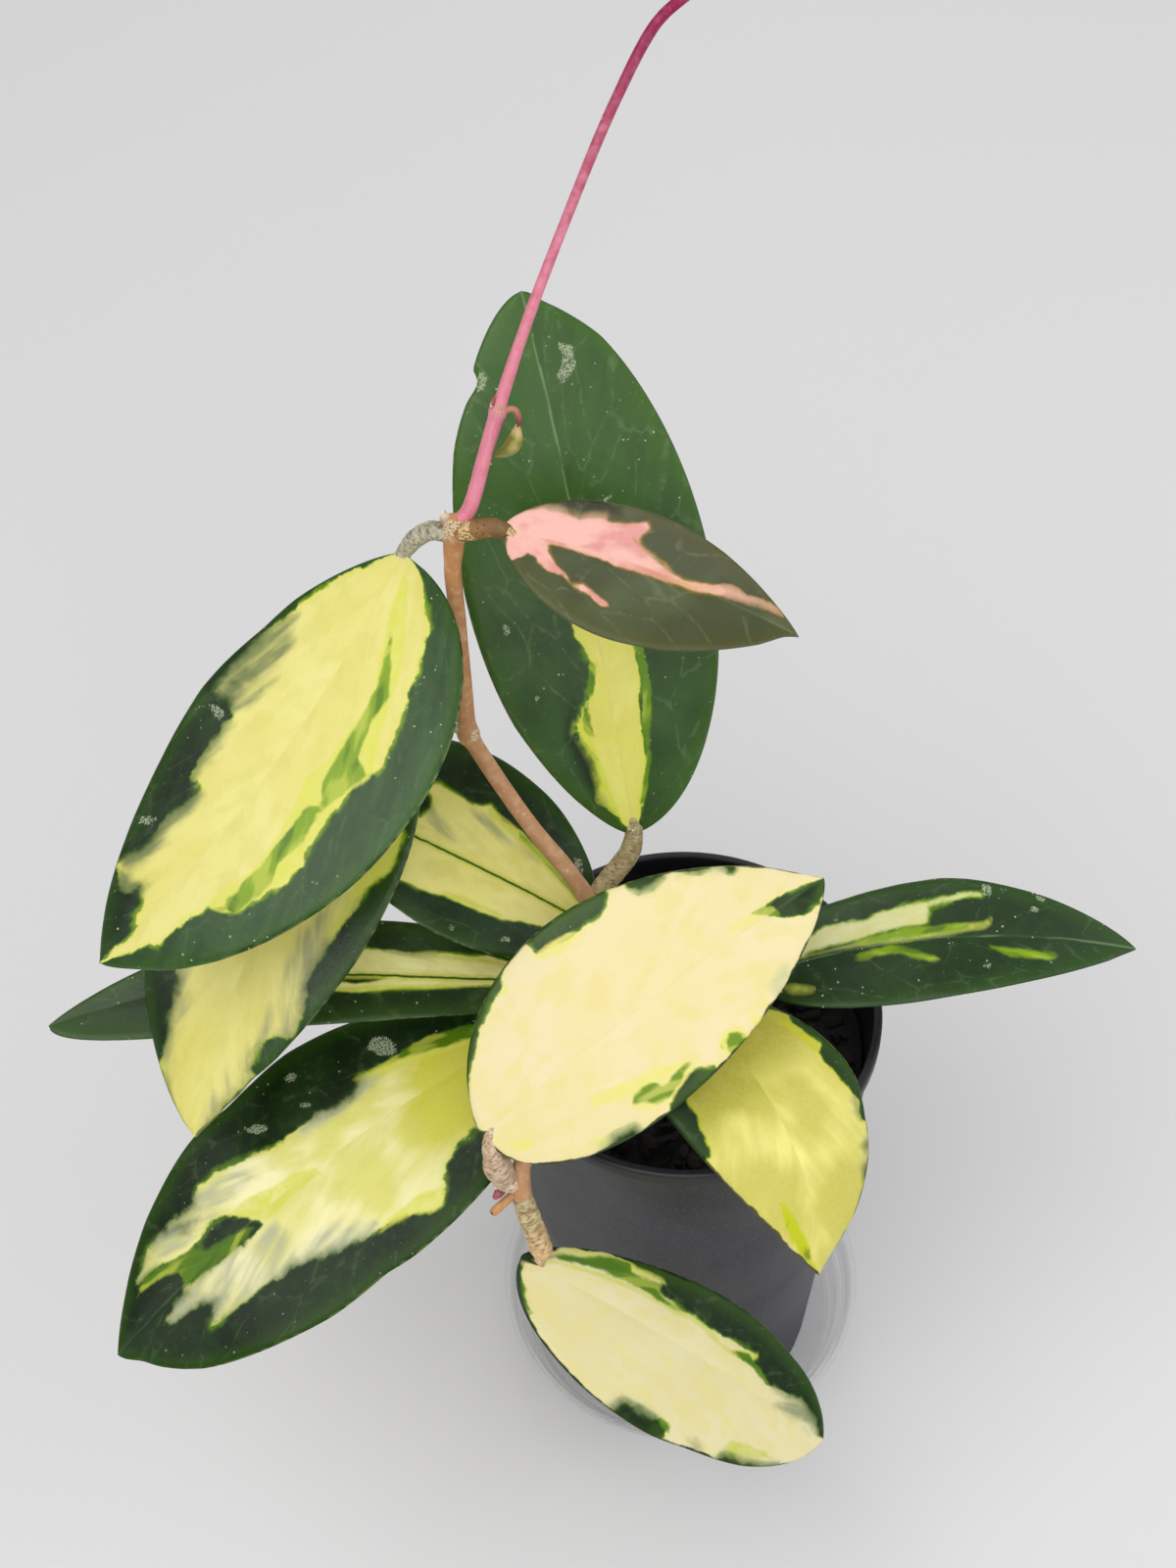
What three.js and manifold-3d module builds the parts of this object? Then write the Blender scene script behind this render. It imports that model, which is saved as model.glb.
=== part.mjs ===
// Variegated hoya verticillata in a black nursery pot on a clear saucer.
// Millimetres, +Z up, -Y to the front. The origin is the centre of the saucer's underside.
import * as THREE from 'three';
import { mergeVertices } from 'three/addons/utils/BufferGeometryUtils.js';
import Module from 'manifold-3d';

const wasm = await Module();
wasm.setup();

// Driving dimensions
const CLEARANCE = 0.3;
const ROUND_SEGMENTS = 40;

const SAUCER = { rimRadius: 52.4, footRadius: 44, height: 16, wall: 1.2, floor: 1.2 };
const POT = { rimRadius: 50, baseRadius: 37.8, height: 154.6, wall: 1.2, floor: 1.8, lip: 1.2 };
const DRAIN = { holes: 6, holeRadius: 4, circleRadius: 27, slots: 8, slotWidth: 8, slotHeight: 3 };
const SOIL = { belowRim: 18, relief: 1.6, rings: 5 };
const BLADE = { thickness: 1.2, rows: 13, columns: 6, endTrim: 0.004 };
const LIMB = { stemSides: 10, petioleSides: 8, stemStep: 4.8, petioleStep: 2.8 };

const POT_BOTTOM = SAUCER.floor + CLEARANCE;
const RIM_HEIGHT = POT_BOTTOM + POT.height;
const SOIL_HEIGHT = RIM_HEIGHT - SOIL.belowRim;

// Stems. Each point is x, y, z and the radius there.
const VINE = [
  [0.2, 3.0, 130.0, 2.6], [-1.5, -0.2, 142.9, 2.6], [-6.5, 1.6, 152.2, 2.5], [-10.6, 3.9, 168.5, 2.4],
  [-22.1, 8.2, 187.9, 2.3], [-28.2, 12.2, 197.7, 2.1], [-37.7, 18.6, 209.6, 2.0], [-48.9, 29.2, 225.0, 2.1],
  [-50.5, 30.4, 228.6, 2.5], [-50.7, 31.6, 233.6, 2.0], [-51.0, 36.6, 258.6, 1.9], [-51.3, 40.0, 274.5, 2.0],
  [-50.6, 41.3, 282.1, 2.4], [-50.1, 41.6, 286.3, 2.4],
];
const NEW_SHOOT = [
  [-49.4, 41.6, 286.6, 2.0], [-46.9, 42.7, 289.2, 1.9], [-42.7, 50.2, 298.8, 1.8], [-40.2, 54.3, 304.8, 1.9],
  [-39.4, 55.2, 306.8, 2.2], [-38.7, 56.5, 308.5, 1.7], [-32.2, 66.2, 322.6, 1.5], [-22.4, 79.0, 341.2, 1.35],
  [-11.9, 90.8, 360.2, 1.35], [-2.8, 98.8, 373.5, 1.35], [2.5, 101.7, 377.2, 1.3], [9.5, 103.2, 381.1, 1.3],
  [17.5, 102.4, 384.3, 1.2], [26.1, 99.7, 386.0, 1.2], [31.7, 97.0, 386.0, 1.6], [34.6, 95.4, 385.8, 0.5],
];
const FRONT_STEM = [
  [-20.0, -19.1, 130.0, 2.3], [-23.7, -26.7, 157.2, 2.3], [-28.7, -32.8, 167.1, 2.3],
  [-34.8, -40.1, 165.0, 2.2], [-39.6, -46.6, 158.2, 2.1], [-41.7, -49.4, 153.9, 2.4],
  [-41.1, -51.1, 151.1, 2.4],
];
const CUT_TWIG = [[-42.4, -50.4, 153.0, 1.0], [-47.2, -53.9, 148.9, 1.1]];
const SIDE_BUD = [[-44.0, -50.8, 153.6, 0.9], [-46.0, -53.0, 153.0, 1.3], [-47.4, -54.3, 152.6, 0.5]];

// Leaves. base and tip are the blade's ends, normal points away from its upper face, arch lifts the midrib
// and sweep bends it sideways, cup raises the margins and lobe draws the base back round the petiole.
// left and right give a half-width and how full it is towards the base and towards the tip.
const LEAVES = [
  {
    name: 'leaf_upper_left',
    base: [-62.2, 42.1, 277.6], tip: [-133.8, -26.9, 219.7], normal: [-0.25, -0.5, 0.83],
    arch: 7, sweep: 8.6, cup: -2, lobe: 0, left: [32.9, 0.40, 0.62], right: [26.4, 0.83, 0.90],
    petiole: [[-50.9, 41.2, 283.2, 1.9], [-55.1, 42.0, 284.3, 1.9], [-58.8, 42.4, 282.0, 1.8],
      [-62.2, 42.1, 277.6, 1.6], [-63.6, 41.1, 276.0, 0.9]],
  },
  {
    name: 'leaf_upright_back',
    base: [-11.9, 21.1, 201.2], tip: [-33.7, 89.7, 312.4], normal: [0.1, -0.8, 0.6],
    arch: 4, sweep: -0.9, cup: -2, lobe: 1, left: [28.9, 0.66, 0.63], right: [29.9, 0.53, 0.61],
    petiole: [[-22.4, 8.6, 187.9, 1.9], [-20.5, 11.1, 190.3, 2.5], [-16.3, 14.9, 193.4, 2.7],
      [-12.7, 18.2, 196.9, 2.6], [-11.6, 21.3, 201.4, 2.1], [-11.9, 22.3, 203.6, 1.1]],
  },
  {
    name: 'leaf_young_pink',
    base: [-38.7, 37.2, 287.9], tip: [24.1, 10.0, 279.4], normal: [0.15, -0.6, 0.8],
    arch: 2, sweep: 2.5, cup: 2, lobe: 1, left: [11.6, 0.57, 0.83], right: [18.0, 0.79, 1.00],
    petiole: [[-50.2, 41.0, 284.6, 1.9], [-46.4, 39.8, 286.3, 1.9], [-41.6, 38.6, 287.8, 1.9],
      [-38.7, 37.2, 288.0, 1.6], [-37.0, 36.3, 287.8, 0.9]],
  },
  {
    name: 'leaf_left_behind',
    base: [-67.0, 37.1, 234.3], tip: [-118.7, -41.5, 168.3], normal: [-0.25, -0.5, 0.85],
    arch: 5, sweep: -5.6, cup: -2, lobe: 0, left: [26.1, 0.73, 1.06], right: [31.7, 0.59, 0.70],
    petiole: [[-50.6, 30.5, 228.8, 2.0], [-55.7, 33.1, 232.2, 1.9], [-61.4, 36.5, 235.0, 1.8],
      [-67.0, 37.1, 234.3, 1.5], [-68.7, 35.9, 233.1, 0.9]],
  },
  {
    name: 'leaf_behind_stem',
    base: [-21.3, 7.5, 179.4], tip: [-93.9, 35.0, 210.3], normal: [0.1, -0.3, 0.95],
    arch: 3, sweep: -2.2, cup: 2, lobe: 0, left: [23.7, 0.57, 0.73], right: [24.3, 0.67, 0.67],
    petiole: [[-10.8, 4.0, 168.7, 2.0], [-14.1, 6.6, 172.1, 2.0], [-17.7, 7.0, 176.3, 1.9],
      [-21.3, 7.6, 179.4, 1.5], [-23.1, 8.3, 180.4, 0.9]],
  },
  {
    name: 'leaf_far_left',
    base: [-28.1, -3.8, 168.6], tip: [-155.6, -13.5, 176.1], normal: [-0.1, -0.32, 0.94],
    arch: 5, sweep: -8.3, cup: 1, lobe: 0, left: [14.1, 0.63, 0.57], right: [12.5, 0.54, 0.81],
    petiole: [[-10.6, 3.7, 168.2, 2.0], [-15.3, 2.7, 167.5, 2.0], [-22.3, -1.9, 167.6, 1.8],
      [-28.2, -3.8, 168.6, 1.4], [-30.1, -3.9, 169.0, 0.8]],
  },
  {
    name: 'leaf_lower_left',
    base: [-35.3, -11.1, 167.0], tip: [-142.3, -73.4, 120.7], normal: [-0.2, -0.4, 0.9],
    arch: 7, sweep: -4.4, cup: -2, lobe: 0, left: [32.3, 0.61, 0.65], right: [29.4, 0.73, 0.76],
    petiole: [[-6.6, 1.5, 152.4, 2.0], [-14.6, -1.1, 156.6, 2.1], [-26.9, -5.9, 163.8, 2.0],
      [-35.4, -11.2, 167.0, 1.6], [-37.4, -12.4, 167.0, 0.9]],
  },
  {
    name: 'leaf_centre',
    base: [-49.0, -44.4, 171.1], tip: [32.5, -0.7, 207.7], normal: [0.0, -0.6, 0.8],
    arch: 5, sweep: 1.9, cup: -1, lobe: 2, left: [28.9, 0.58, 0.84], right: [23.7, 0.48, 0.75],
    petiole: [[-41.9, -50.2, 152.8, 1.9], [-45.4, -49.6, 157.8, 3.3], [-47.2, -48.9, 162.4, 3.5],
      [-48.4, -47.2, 166.9, 2.2], [-48.8, -45.4, 170.0, 1.3], [-47.6, -43.7, 171.7, 0.9]],
  },
  {
    name: 'leaf_right',
    base: [17.4, 0.7, 167.2], tip: [113.4, 4.2, 167.5], normal: [0.1, -0.35, 0.93],
    arch: 5, sweep: 4.9, cup: 1, lobe: 0, left: [15.5, 0.61, 0.80], right: [15.8, 0.52, 0.84],
    petiole: [[-10.5, 3.9, 168.0, 2.0], [-0.7, 4.2, 167.5, 2.0], [9.0, 2.0, 167.0, 1.9],
      [17.5, 0.7, 167.1, 1.5], [19.6, 0.7, 167.4, 0.9]],
  },
  {
    name: 'leaf_lower_right',
    base: [-0.6, -13.6, 176.0], tip: [29.2, -65.3, 134.0], normal: [0.2, -0.5, 0.84],
    arch: 9, sweep: 6.3, cup: -2, lobe: 2, left: [22.2, 0.63, 0.74], right: [22.9, 0.42, 0.98],
    petiole: [[-6.4, 1.5, 152.6, 2.0], [-5.1, 0.0, 161.4, 2.0], [-2.8, -6.2, 171.8, 1.8],
      [-0.6, -13.4, 176.0, 1.5], [0.5, -16.0, 176.2, 0.9]],
  },
  {
    name: 'leaf_bottom',
    base: [-39.1, -58.3, 130.7], tip: [32.1, -80.0, 73.4], normal: [0.1, -0.35, 0.93],
    arch: 4, sweep: 0.6, cup: -1, lobe: 5, left: [17.4, 0.77, 0.61], right: [22.5, 0.50, 0.57],
    petiole: [[-41.3, -50.9, 152.0, 1.9], [-40.4, -52.8, 147.2, 3.1], [-38.7, -54.7, 140.3, 3.3],
      [-37.8, -56.1, 134.5, 2.8], [-37.9, -57.4, 131.5, 1.6], [-37.2, -58.9, 130.4, 0.9]],
  },
];
const CURLED_LEAFLET = {
  name: 'leaflet_curled',
  base: [-36.6, 55.2, 306.6], tip: [-38.6, 48.2, 301.0], normal: [0.9, -0.3, 0.3],
  arch: 3.2, sweep: 0, cup: 0.6, lobe: 0, left: [1.9, 0.60, 0.70], right: [1.9, 0.60, 0.70],
  petiole: [[-39.2, 55.2, 306.6, 0.8], [-37.9, 55.4, 307.1, 0.7], [-36.7, 55.2, 306.7, 0.6],
    [-36.0, 54.6, 305.9, 0.5]],
};

// Colours
const FINISH = {
  saucer: { color: 0xdfe3e6, roughness: 0.15, metalness: 0, transparent: true, opacity: 0.35 },
  pot: { color: 0x2b2a2f, roughness: 0.55, metalness: 0 },
  soil: { color: 0x2a1f17, roughness: 0.95, metalness: 0 },
  bark: { color: 0xa77a58, roughness: 0.75, metalness: 0 },
  shoot: { color: 0xb0396a, roughness: 0.5, metalness: 0 },
  leaf: { color: 0x9aa848, roughness: 0.35, metalness: 0 },
  pinkLeaf: { color: 0x8a6560, roughness: 0.4, metalness: 0 },
};

// Solids
function toSolid(geometry) {
  const bare = geometry.clone();
  for (const name of Object.keys(bare.attributes)) {
    if (name !== 'position') bare.deleteAttribute(name);
  }
  const merged = mergeVertices(bare, 1e-4);
  return new wasm.Manifold(new wasm.Mesh({
    numProp: 3,
    vertProperties: new Float32Array(merged.attributes.position.array),
    triVerts: new Uint32Array(merged.index.array),
  }));
}

function toGeometry(solid) {
  const mesh = solid.getMesh();
  const geometry = new THREE.BufferGeometry();
  geometry.setAttribute('position', new THREE.BufferAttribute(mesh.vertProperties, 3));
  geometry.setIndex(new THREE.BufferAttribute(mesh.triVerts, 1));
  geometry.computeVertexNormals();
  return geometry;
}

function largestPiece(solid) {
  const pieces = solid.decompose();
  pieces.sort((a, b) => b.volume() - a.volume());
  return pieces[0];
}

// A turned solid from radius and height pairs that start and end on the axis.
function turned(profile, segments = ROUND_SEGMENTS) {
  const points = profile.map(([radius, height]) => new THREE.Vector2(radius, height));
  return new THREE.LatheGeometry(points, segments).rotateX(Math.PI / 2);
}

// Closes rings of equal size, in order, into one body with a fan over each end.
function closeRings(rings, startPoint, endPoint) {
  const sides = rings[0].length;
  const vertices = [startPoint, ...rings.flat(), endPoint];
  const last = vertices.length - 1;
  const index = [];
  const at = (ring, side) => 1 + ring * sides + (side % sides);
  for (let side = 0; side < sides; side += 1) {
    index.push(0, at(0, side + 1), at(0, side));
    for (let ring = 0; ring + 1 < rings.length; ring += 1) {
      index.push(at(ring, side), at(ring, side + 1), at(ring + 1, side));
      index.push(at(ring, side + 1), at(ring + 1, side + 1), at(ring + 1, side));
    }
    index.push(last, at(rings.length - 1, side), at(rings.length - 1, side + 1));
  }
  const geometry = new THREE.BufferGeometry().setFromPoints(vertices);
  geometry.setIndex(index);
  return geometry;
}

// A round limb along a smooth curve. grow makes it fatter and longer, to cut a seat for it.
function limb(stations, sides, step, grow = 0) {
  const points = stations.map(([x, y, z]) => new THREE.Vector3(x, y, z));
  const curve = new THREE.CatmullRomCurve3(points, false, 'centripetal');
  const count = Math.max(2, Math.round(curve.getLength() / step));
  const frames = curve.computeFrenetFrames(count, false);
  const radiusAt = (t) => {
    const place = t * (stations.length - 1);
    const before = Math.min(Math.floor(place), stations.length - 2);
    return THREE.MathUtils.lerp(stations[before][3], stations[before + 1][3], place - before) + grow;
  };
  const rings = [];
  for (let i = 0; i <= count; i += 1) {
    const t = curve.getUtoTmapping(i / count);
    const centre = curve.getPoint(t);
    if (i === 0) centre.addScaledVector(frames.tangents[0], -grow);
    if (i === count) centre.addScaledVector(frames.tangents[count], grow);
    rings.push(Array.from({ length: sides }, (_, side) => {
      const angle = (side / sides) * 2 * Math.PI;
      return centre.clone()
        .addScaledVector(frames.normals[i], Math.cos(angle) * radiusAt(t))
        .addScaledVector(frames.binormals[i], Math.sin(angle) * radiusAt(t));
    }));
  }
  const middle = (ring) => ring.reduce((sum, p) => sum.add(p), new THREE.Vector3()).divideScalar(sides);
  return toSolid(closeRings(rings, middle(rings[0]), middle(rings[count])));
}

// How full a half-blade is at t along the midrib: 0 at both ends and 1 at its widest place.
function fullness(t, towardsBase, towardsTip) {
  const widest = towardsBase / (towardsBase + towardsTip);
  return (t / widest) ** towardsBase * ((1 - t) / (1 - widest)) ** towardsTip;
}

// The directions of a blade: along its length, away from its upper face and towards its left margin.
function bladeFrame(leaf) {
  const base = new THREE.Vector3(...leaf.base);
  const along = new THREE.Vector3(...leaf.tip).sub(base);
  const length = along.length();
  along.normalize();
  const up = new THREE.Vector3(...leaf.normal);
  up.addScaledVector(along, -up.dot(along)).normalize();
  const side = new THREE.Vector3().crossVectors(up, along);
  return { base, along, up, side, length };
}

// The blade's middle surface at t along the midrib and s across it: -1 is the right margin, 1 is the left.
function bladePoint(leaf, frame, t, s) {
  const bow = 4 * t * (1 - t);
  const [half, towardsBase, towardsTip] = s > 0 ? leaf.left : leaf.right;
  const across = s * half * fullness(t, towardsBase, towardsTip) + leaf.sweep * bow;
  const forward = frame.length * t - leaf.lobe * s * s * (1 - t) ** 4;
  const lift = leaf.arch * bow + leaf.cup * s * s * Math.sqrt(bow);
  return frame.base.clone()
    .addScaledVector(frame.along, forward)
    .addScaledVector(frame.side, across)
    .addScaledVector(frame.up, lift);
}

// A blade of even thickness, split into triangles alike on both faces.
function blade(leaf, thickness = BLADE.thickness) {
  const frame = bladeFrame(leaf);
  const { rows, columns, endTrim } = BLADE;
  const across = columns + 1;
  const vertices = [];
  for (const face of [0.5, -0.5]) {
    for (let row = 0; row <= rows; row += 1) {
      const t = THREE.MathUtils.clamp((1 - Math.cos((Math.PI * row) / rows)) / 2, endTrim, 1 - endTrim);
      for (let column = 0; column <= columns; column += 1) {
        const point = bladePoint(leaf, frame, t, (2 * column) / columns - 1);
        vertices.push(point.addScaledVector(frame.up, face * thickness));
      }
    }
  }
  const index = [];
  const top = (row, column) => row * across + column;
  const under = (row, column) => (rows + 1) * across + top(row, column);
  for (let row = 0; row < rows; row += 1) {
    for (let column = 0; column < columns; column += 1) {
      index.push(top(row, column), top(row + 1, column), top(row, column + 1));
      index.push(top(row, column + 1), top(row + 1, column), top(row + 1, column + 1));
      index.push(under(row, column), under(row, column + 1), under(row + 1, column));
      index.push(under(row, column + 1), under(row + 1, column + 1), under(row + 1, column));
    }
  }
  const rim = [];
  for (let row = 0; row < rows; row += 1) rim.push([row, 0]);
  for (let column = 0; column < columns; column += 1) rim.push([rows, column]);
  for (let row = rows; row > 0; row -= 1) rim.push([row, columns]);
  for (let column = columns; column > 0; column -= 1) rim.push([0, column]);
  rim.forEach(([row, column], i) => {
    const [nextRow, nextColumn] = rim[(i + 1) % rim.length];
    index.push(top(row, column), under(row, column), top(nextRow, nextColumn));
    index.push(top(nextRow, nextColumn), under(row, column), under(nextRow, nextColumn));
  });
  const geometry = new THREE.BufferGeometry().setFromPoints(vertices);
  geometry.setIndex(index);
  return toSolid(geometry);
}

// A leaf is its blade and petiole grown together, seated on the stems that it meets.
function leafSolid(leaf, stems, thickness) {
  const whole = blade(leaf, thickness).add(limb(leaf.petiole, LIMB.petioleSides, LIMB.petioleStep));
  return largestPiece(stems.reduce((solid, seat) => solid.subtract(seat), whole));
}

// Saucer: a flat foot, a sloping wall with one step, and a rolled rim.
function saucerSolid() {
  const { rimRadius, footRadius, height, wall, floor } = SAUCER;
  const stepHeight = height * 0.5;
  const stepRadius = footRadius + 4.2;
  const outside = [
    [0, 0], [footRadius, 0], [footRadius + 1.8, 1.2],
    [stepRadius, stepHeight], [stepRadius + 1.4, stepHeight + 0.6],
    [rimRadius - 1.4, height - 1.6], [rimRadius, height - 1.2], [rimRadius, height],
  ];
  const inside = [
    [rimRadius - 2, height], [rimRadius - 2.8, height - 1.2],
    [stepRadius + 1.4 - wall, stepHeight + 1.6], [stepRadius - wall, stepHeight + 1],
    [footRadius + 1.8 - wall, floor + 1], [footRadius - 0.4, floor], [0, floor],
  ];
  return toSolid(turned([...outside, ...inside]));
}

// Pot: a tapered wall with a rolled lip, drain holes in the floor and slots at the foot of the wall.
function potSolid() {
  const { rimRadius, baseRadius, height, wall, floor, lip } = POT;
  const bottom = POT_BOTTOM;
  const top = RIM_HEIGHT;
  let solid = toSolid(turned([
    [0, bottom + 1], [baseRadius - 6, bottom + 1], [baseRadius - 5, bottom], [baseRadius - 0.8, bottom],
    [baseRadius, bottom + 0.8], [rimRadius - lip, top - 5], [rimRadius, top - 4], [rimRadius, top - 0.6],
    [rimRadius - 0.6, top], [rimRadius - lip - wall + 0.3, top], [rimRadius - lip - wall, top - 0.8],
    [rimRadius - lip - wall, top - 5], [baseRadius - wall, bottom + 1 + floor], [0, bottom + 1 + floor],
  ]));
  for (let i = 0; i < DRAIN.holes; i += 1) {
    const angle = (i / DRAIN.holes) * 2 * Math.PI;
    const hole = new THREE.CylinderGeometry(DRAIN.holeRadius, DRAIN.holeRadius, 4 * floor, 12);
    hole.rotateX(Math.PI / 2);
    hole.translate(DRAIN.circleRadius, 0, bottom + floor);
    hole.rotateZ(angle);
    solid = solid.subtract(toSolid(hole));
  }
  for (let i = 0; i < DRAIN.slots; i += 1) {
    const slot = new THREE.BoxGeometry(4 * wall, DRAIN.slotWidth, 2 * DRAIN.slotHeight);
    slot.translate(baseRadius, 0, bottom);
    slot.rotateZ(((i + 0.5) / DRAIN.slots) * 2 * Math.PI);
    solid = solid.subtract(toSolid(slot));
  }
  return solid;
}

// Potting mix: fills the pot up to below the rim, with a rough top and plain holes for the stems.
function soilSolid(stems) {
  const { rimRadius, baseRadius, height, wall, floor, lip } = POT;
  const bottom = POT_BOTTOM + 1 + floor + CLEARANCE;
  const footRadius = baseRadius - wall - 2 * CLEARANCE;
  const wallRise = (rimRadius - lip - baseRadius) / (height - 5);
  const topRadius = footRadius + wallRise * (SOIL_HEIGHT - bottom);
  const profile = [[0, bottom], [footRadius, bottom], [topRadius, SOIL_HEIGHT]];
  for (let ring = SOIL.rings - 1; ring >= 0; ring -= 1) {
    profile.push([(topRadius * ring) / SOIL.rings, SOIL_HEIGHT]);
  }
  const geometry = turned(profile, 32);
  const place = geometry.attributes.position;
  for (let i = 0; i < place.count; i += 1) {
    const [x, y, z] = [place.getX(i), place.getY(i), place.getZ(i)];
    if (z > SOIL_HEIGHT - 1) {
      const bump = Math.sin(x * 0.41 + 1.3) * Math.cos(y * 0.37) + 0.6 * Math.sin(x * 0.83 - y * 0.71);
      place.setZ(i, z + SOIL.relief * bump * 0.6);
    }
  }
  return stems.reduce((solid, seat) => solid.subtract(seat), toSolid(geometry));
}

// Assembly
const stem = (stations, grow = 0) => limb(stations, LIMB.stemSides, LIMB.stemStep, grow);
const vineSeat = stem(VINE, CLEARANCE);
const frontBranch = (grow = 0) => stem(FRONT_STEM, grow)
  .add(limb(CUT_TWIG, 8, LIMB.petioleStep, grow))
  .add(limb(SIDE_BUD, 8, 0.8, grow));
const frontSeat = frontBranch(CLEARANCE);
const newShoot = largestPiece(stem(NEW_SHOOT).subtract(vineSeat));
const shootSeat = stem(NEW_SHOOT, CLEARANCE);
const seats = [vineSeat, frontSeat, shootSeat];

const plant = new THREE.Group();

function place(name, geometry, finish) {
  const mesh = new THREE.Mesh(geometry, new THREE.MeshStandardMaterial(finish));
  mesh.name = name;
  plant.add(mesh);
}

place('saucer', toGeometry(saucerSolid()), FINISH.saucer);
place('pot', toGeometry(potSolid()), FINISH.pot);
place('potting_mix', toGeometry(soilSolid([vineSeat, frontSeat])), FINISH.soil);
place('vine_stem', toGeometry(stem(VINE)), FINISH.bark);
place('front_stem', toGeometry(frontBranch()), FINISH.bark);
place('new_shoot', toGeometry(newShoot), FINISH.shoot);
for (const leaf of LEAVES) {
  const finish = leaf.name === 'leaf_young_pink' ? FINISH.pinkLeaf : FINISH.leaf;
  place(leaf.name, toGeometry(leafSolid(leaf, seats)), finish);
}
place(CURLED_LEAFLET.name, toGeometry(leafSolid(CURLED_LEAFLET, seats, 0.7)), FINISH.pinkLeaf);

export default plant;
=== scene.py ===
"""Dresses a potted variegated hoya: splashed waxy leaves, corky stems, a pink shoot, a black nursery pot
full of bark and a clear saucer. Sizes are millimetres until a mesh is written in metres."""

import logging
import math
import random
from dataclasses import dataclass, field
from enum import Enum
from typing import ClassVar, Optional, Sequence, Union

import bmesh
import bpy
import numpy as np
from mathutils import Matrix, Vector, noise

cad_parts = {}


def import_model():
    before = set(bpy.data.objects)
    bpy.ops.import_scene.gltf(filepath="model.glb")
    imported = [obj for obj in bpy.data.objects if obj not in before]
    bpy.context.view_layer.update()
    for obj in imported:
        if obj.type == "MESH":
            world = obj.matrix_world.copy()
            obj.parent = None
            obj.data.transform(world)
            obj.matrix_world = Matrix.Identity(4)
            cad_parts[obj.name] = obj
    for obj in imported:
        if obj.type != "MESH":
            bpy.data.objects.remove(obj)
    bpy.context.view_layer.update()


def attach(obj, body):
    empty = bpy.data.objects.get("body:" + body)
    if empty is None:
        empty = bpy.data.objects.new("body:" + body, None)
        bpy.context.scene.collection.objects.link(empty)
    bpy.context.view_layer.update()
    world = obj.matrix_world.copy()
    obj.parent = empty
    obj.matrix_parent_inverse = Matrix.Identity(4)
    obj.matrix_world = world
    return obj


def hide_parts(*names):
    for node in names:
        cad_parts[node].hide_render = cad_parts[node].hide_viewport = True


MM = 0.001
LOG = logging.getLogger("potted_hoya")

Point = tuple[float, float, float]
Station = tuple[float, float, float, float]
Outline = Sequence[tuple[float, float]]
HalfShape = tuple[float, float, float]
Screen = tuple[int, int, int]
Colour = tuple[float, float, float, float]
Feed = Union[float, Colour, bpy.types.NodeSocket]

WELD = 2e-6
WHOLE_BLADE: Outline = ((-.2, 1.6), (1.2, 1.6), (1.2, -1.6), (-.2, -1.6))


class Slot(Enum):
    """The record's material slots."""

    SAUCER = "saucer"
    POT = "pot"
    MIX = "potting_mix"
    BARK = "bark"
    SHOOT = "shoot"
    SPLASH = "leaf_splash"
    GREEN = "leaf_green"
    PINK = "leaf_pink"
    CREAM = "leaf_cream"
    YELLOW = "leaf_yellow"


def tint(red: int, green: int, blue: int) -> Colour:
    """Turns a colour as seen on screen, 0 to 255, into the linear one that a shader takes."""
    linear = [((c / 255 + 0.055) / 1.055) ** 2.4 if c > 10 else c / 255 / 12.92 for c in (red, green, blue)]
    return (linear[0], linear[1], linear[2], 1.0)


def as_shader_value(value: Union[float, Screen]) -> Union[float, Colour]:
    """Turns a screen colour into a linear one, and leaves a number as it is."""
    return tint(*value) if isinstance(value, tuple) else value


# Wiring of shader nodes


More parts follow.
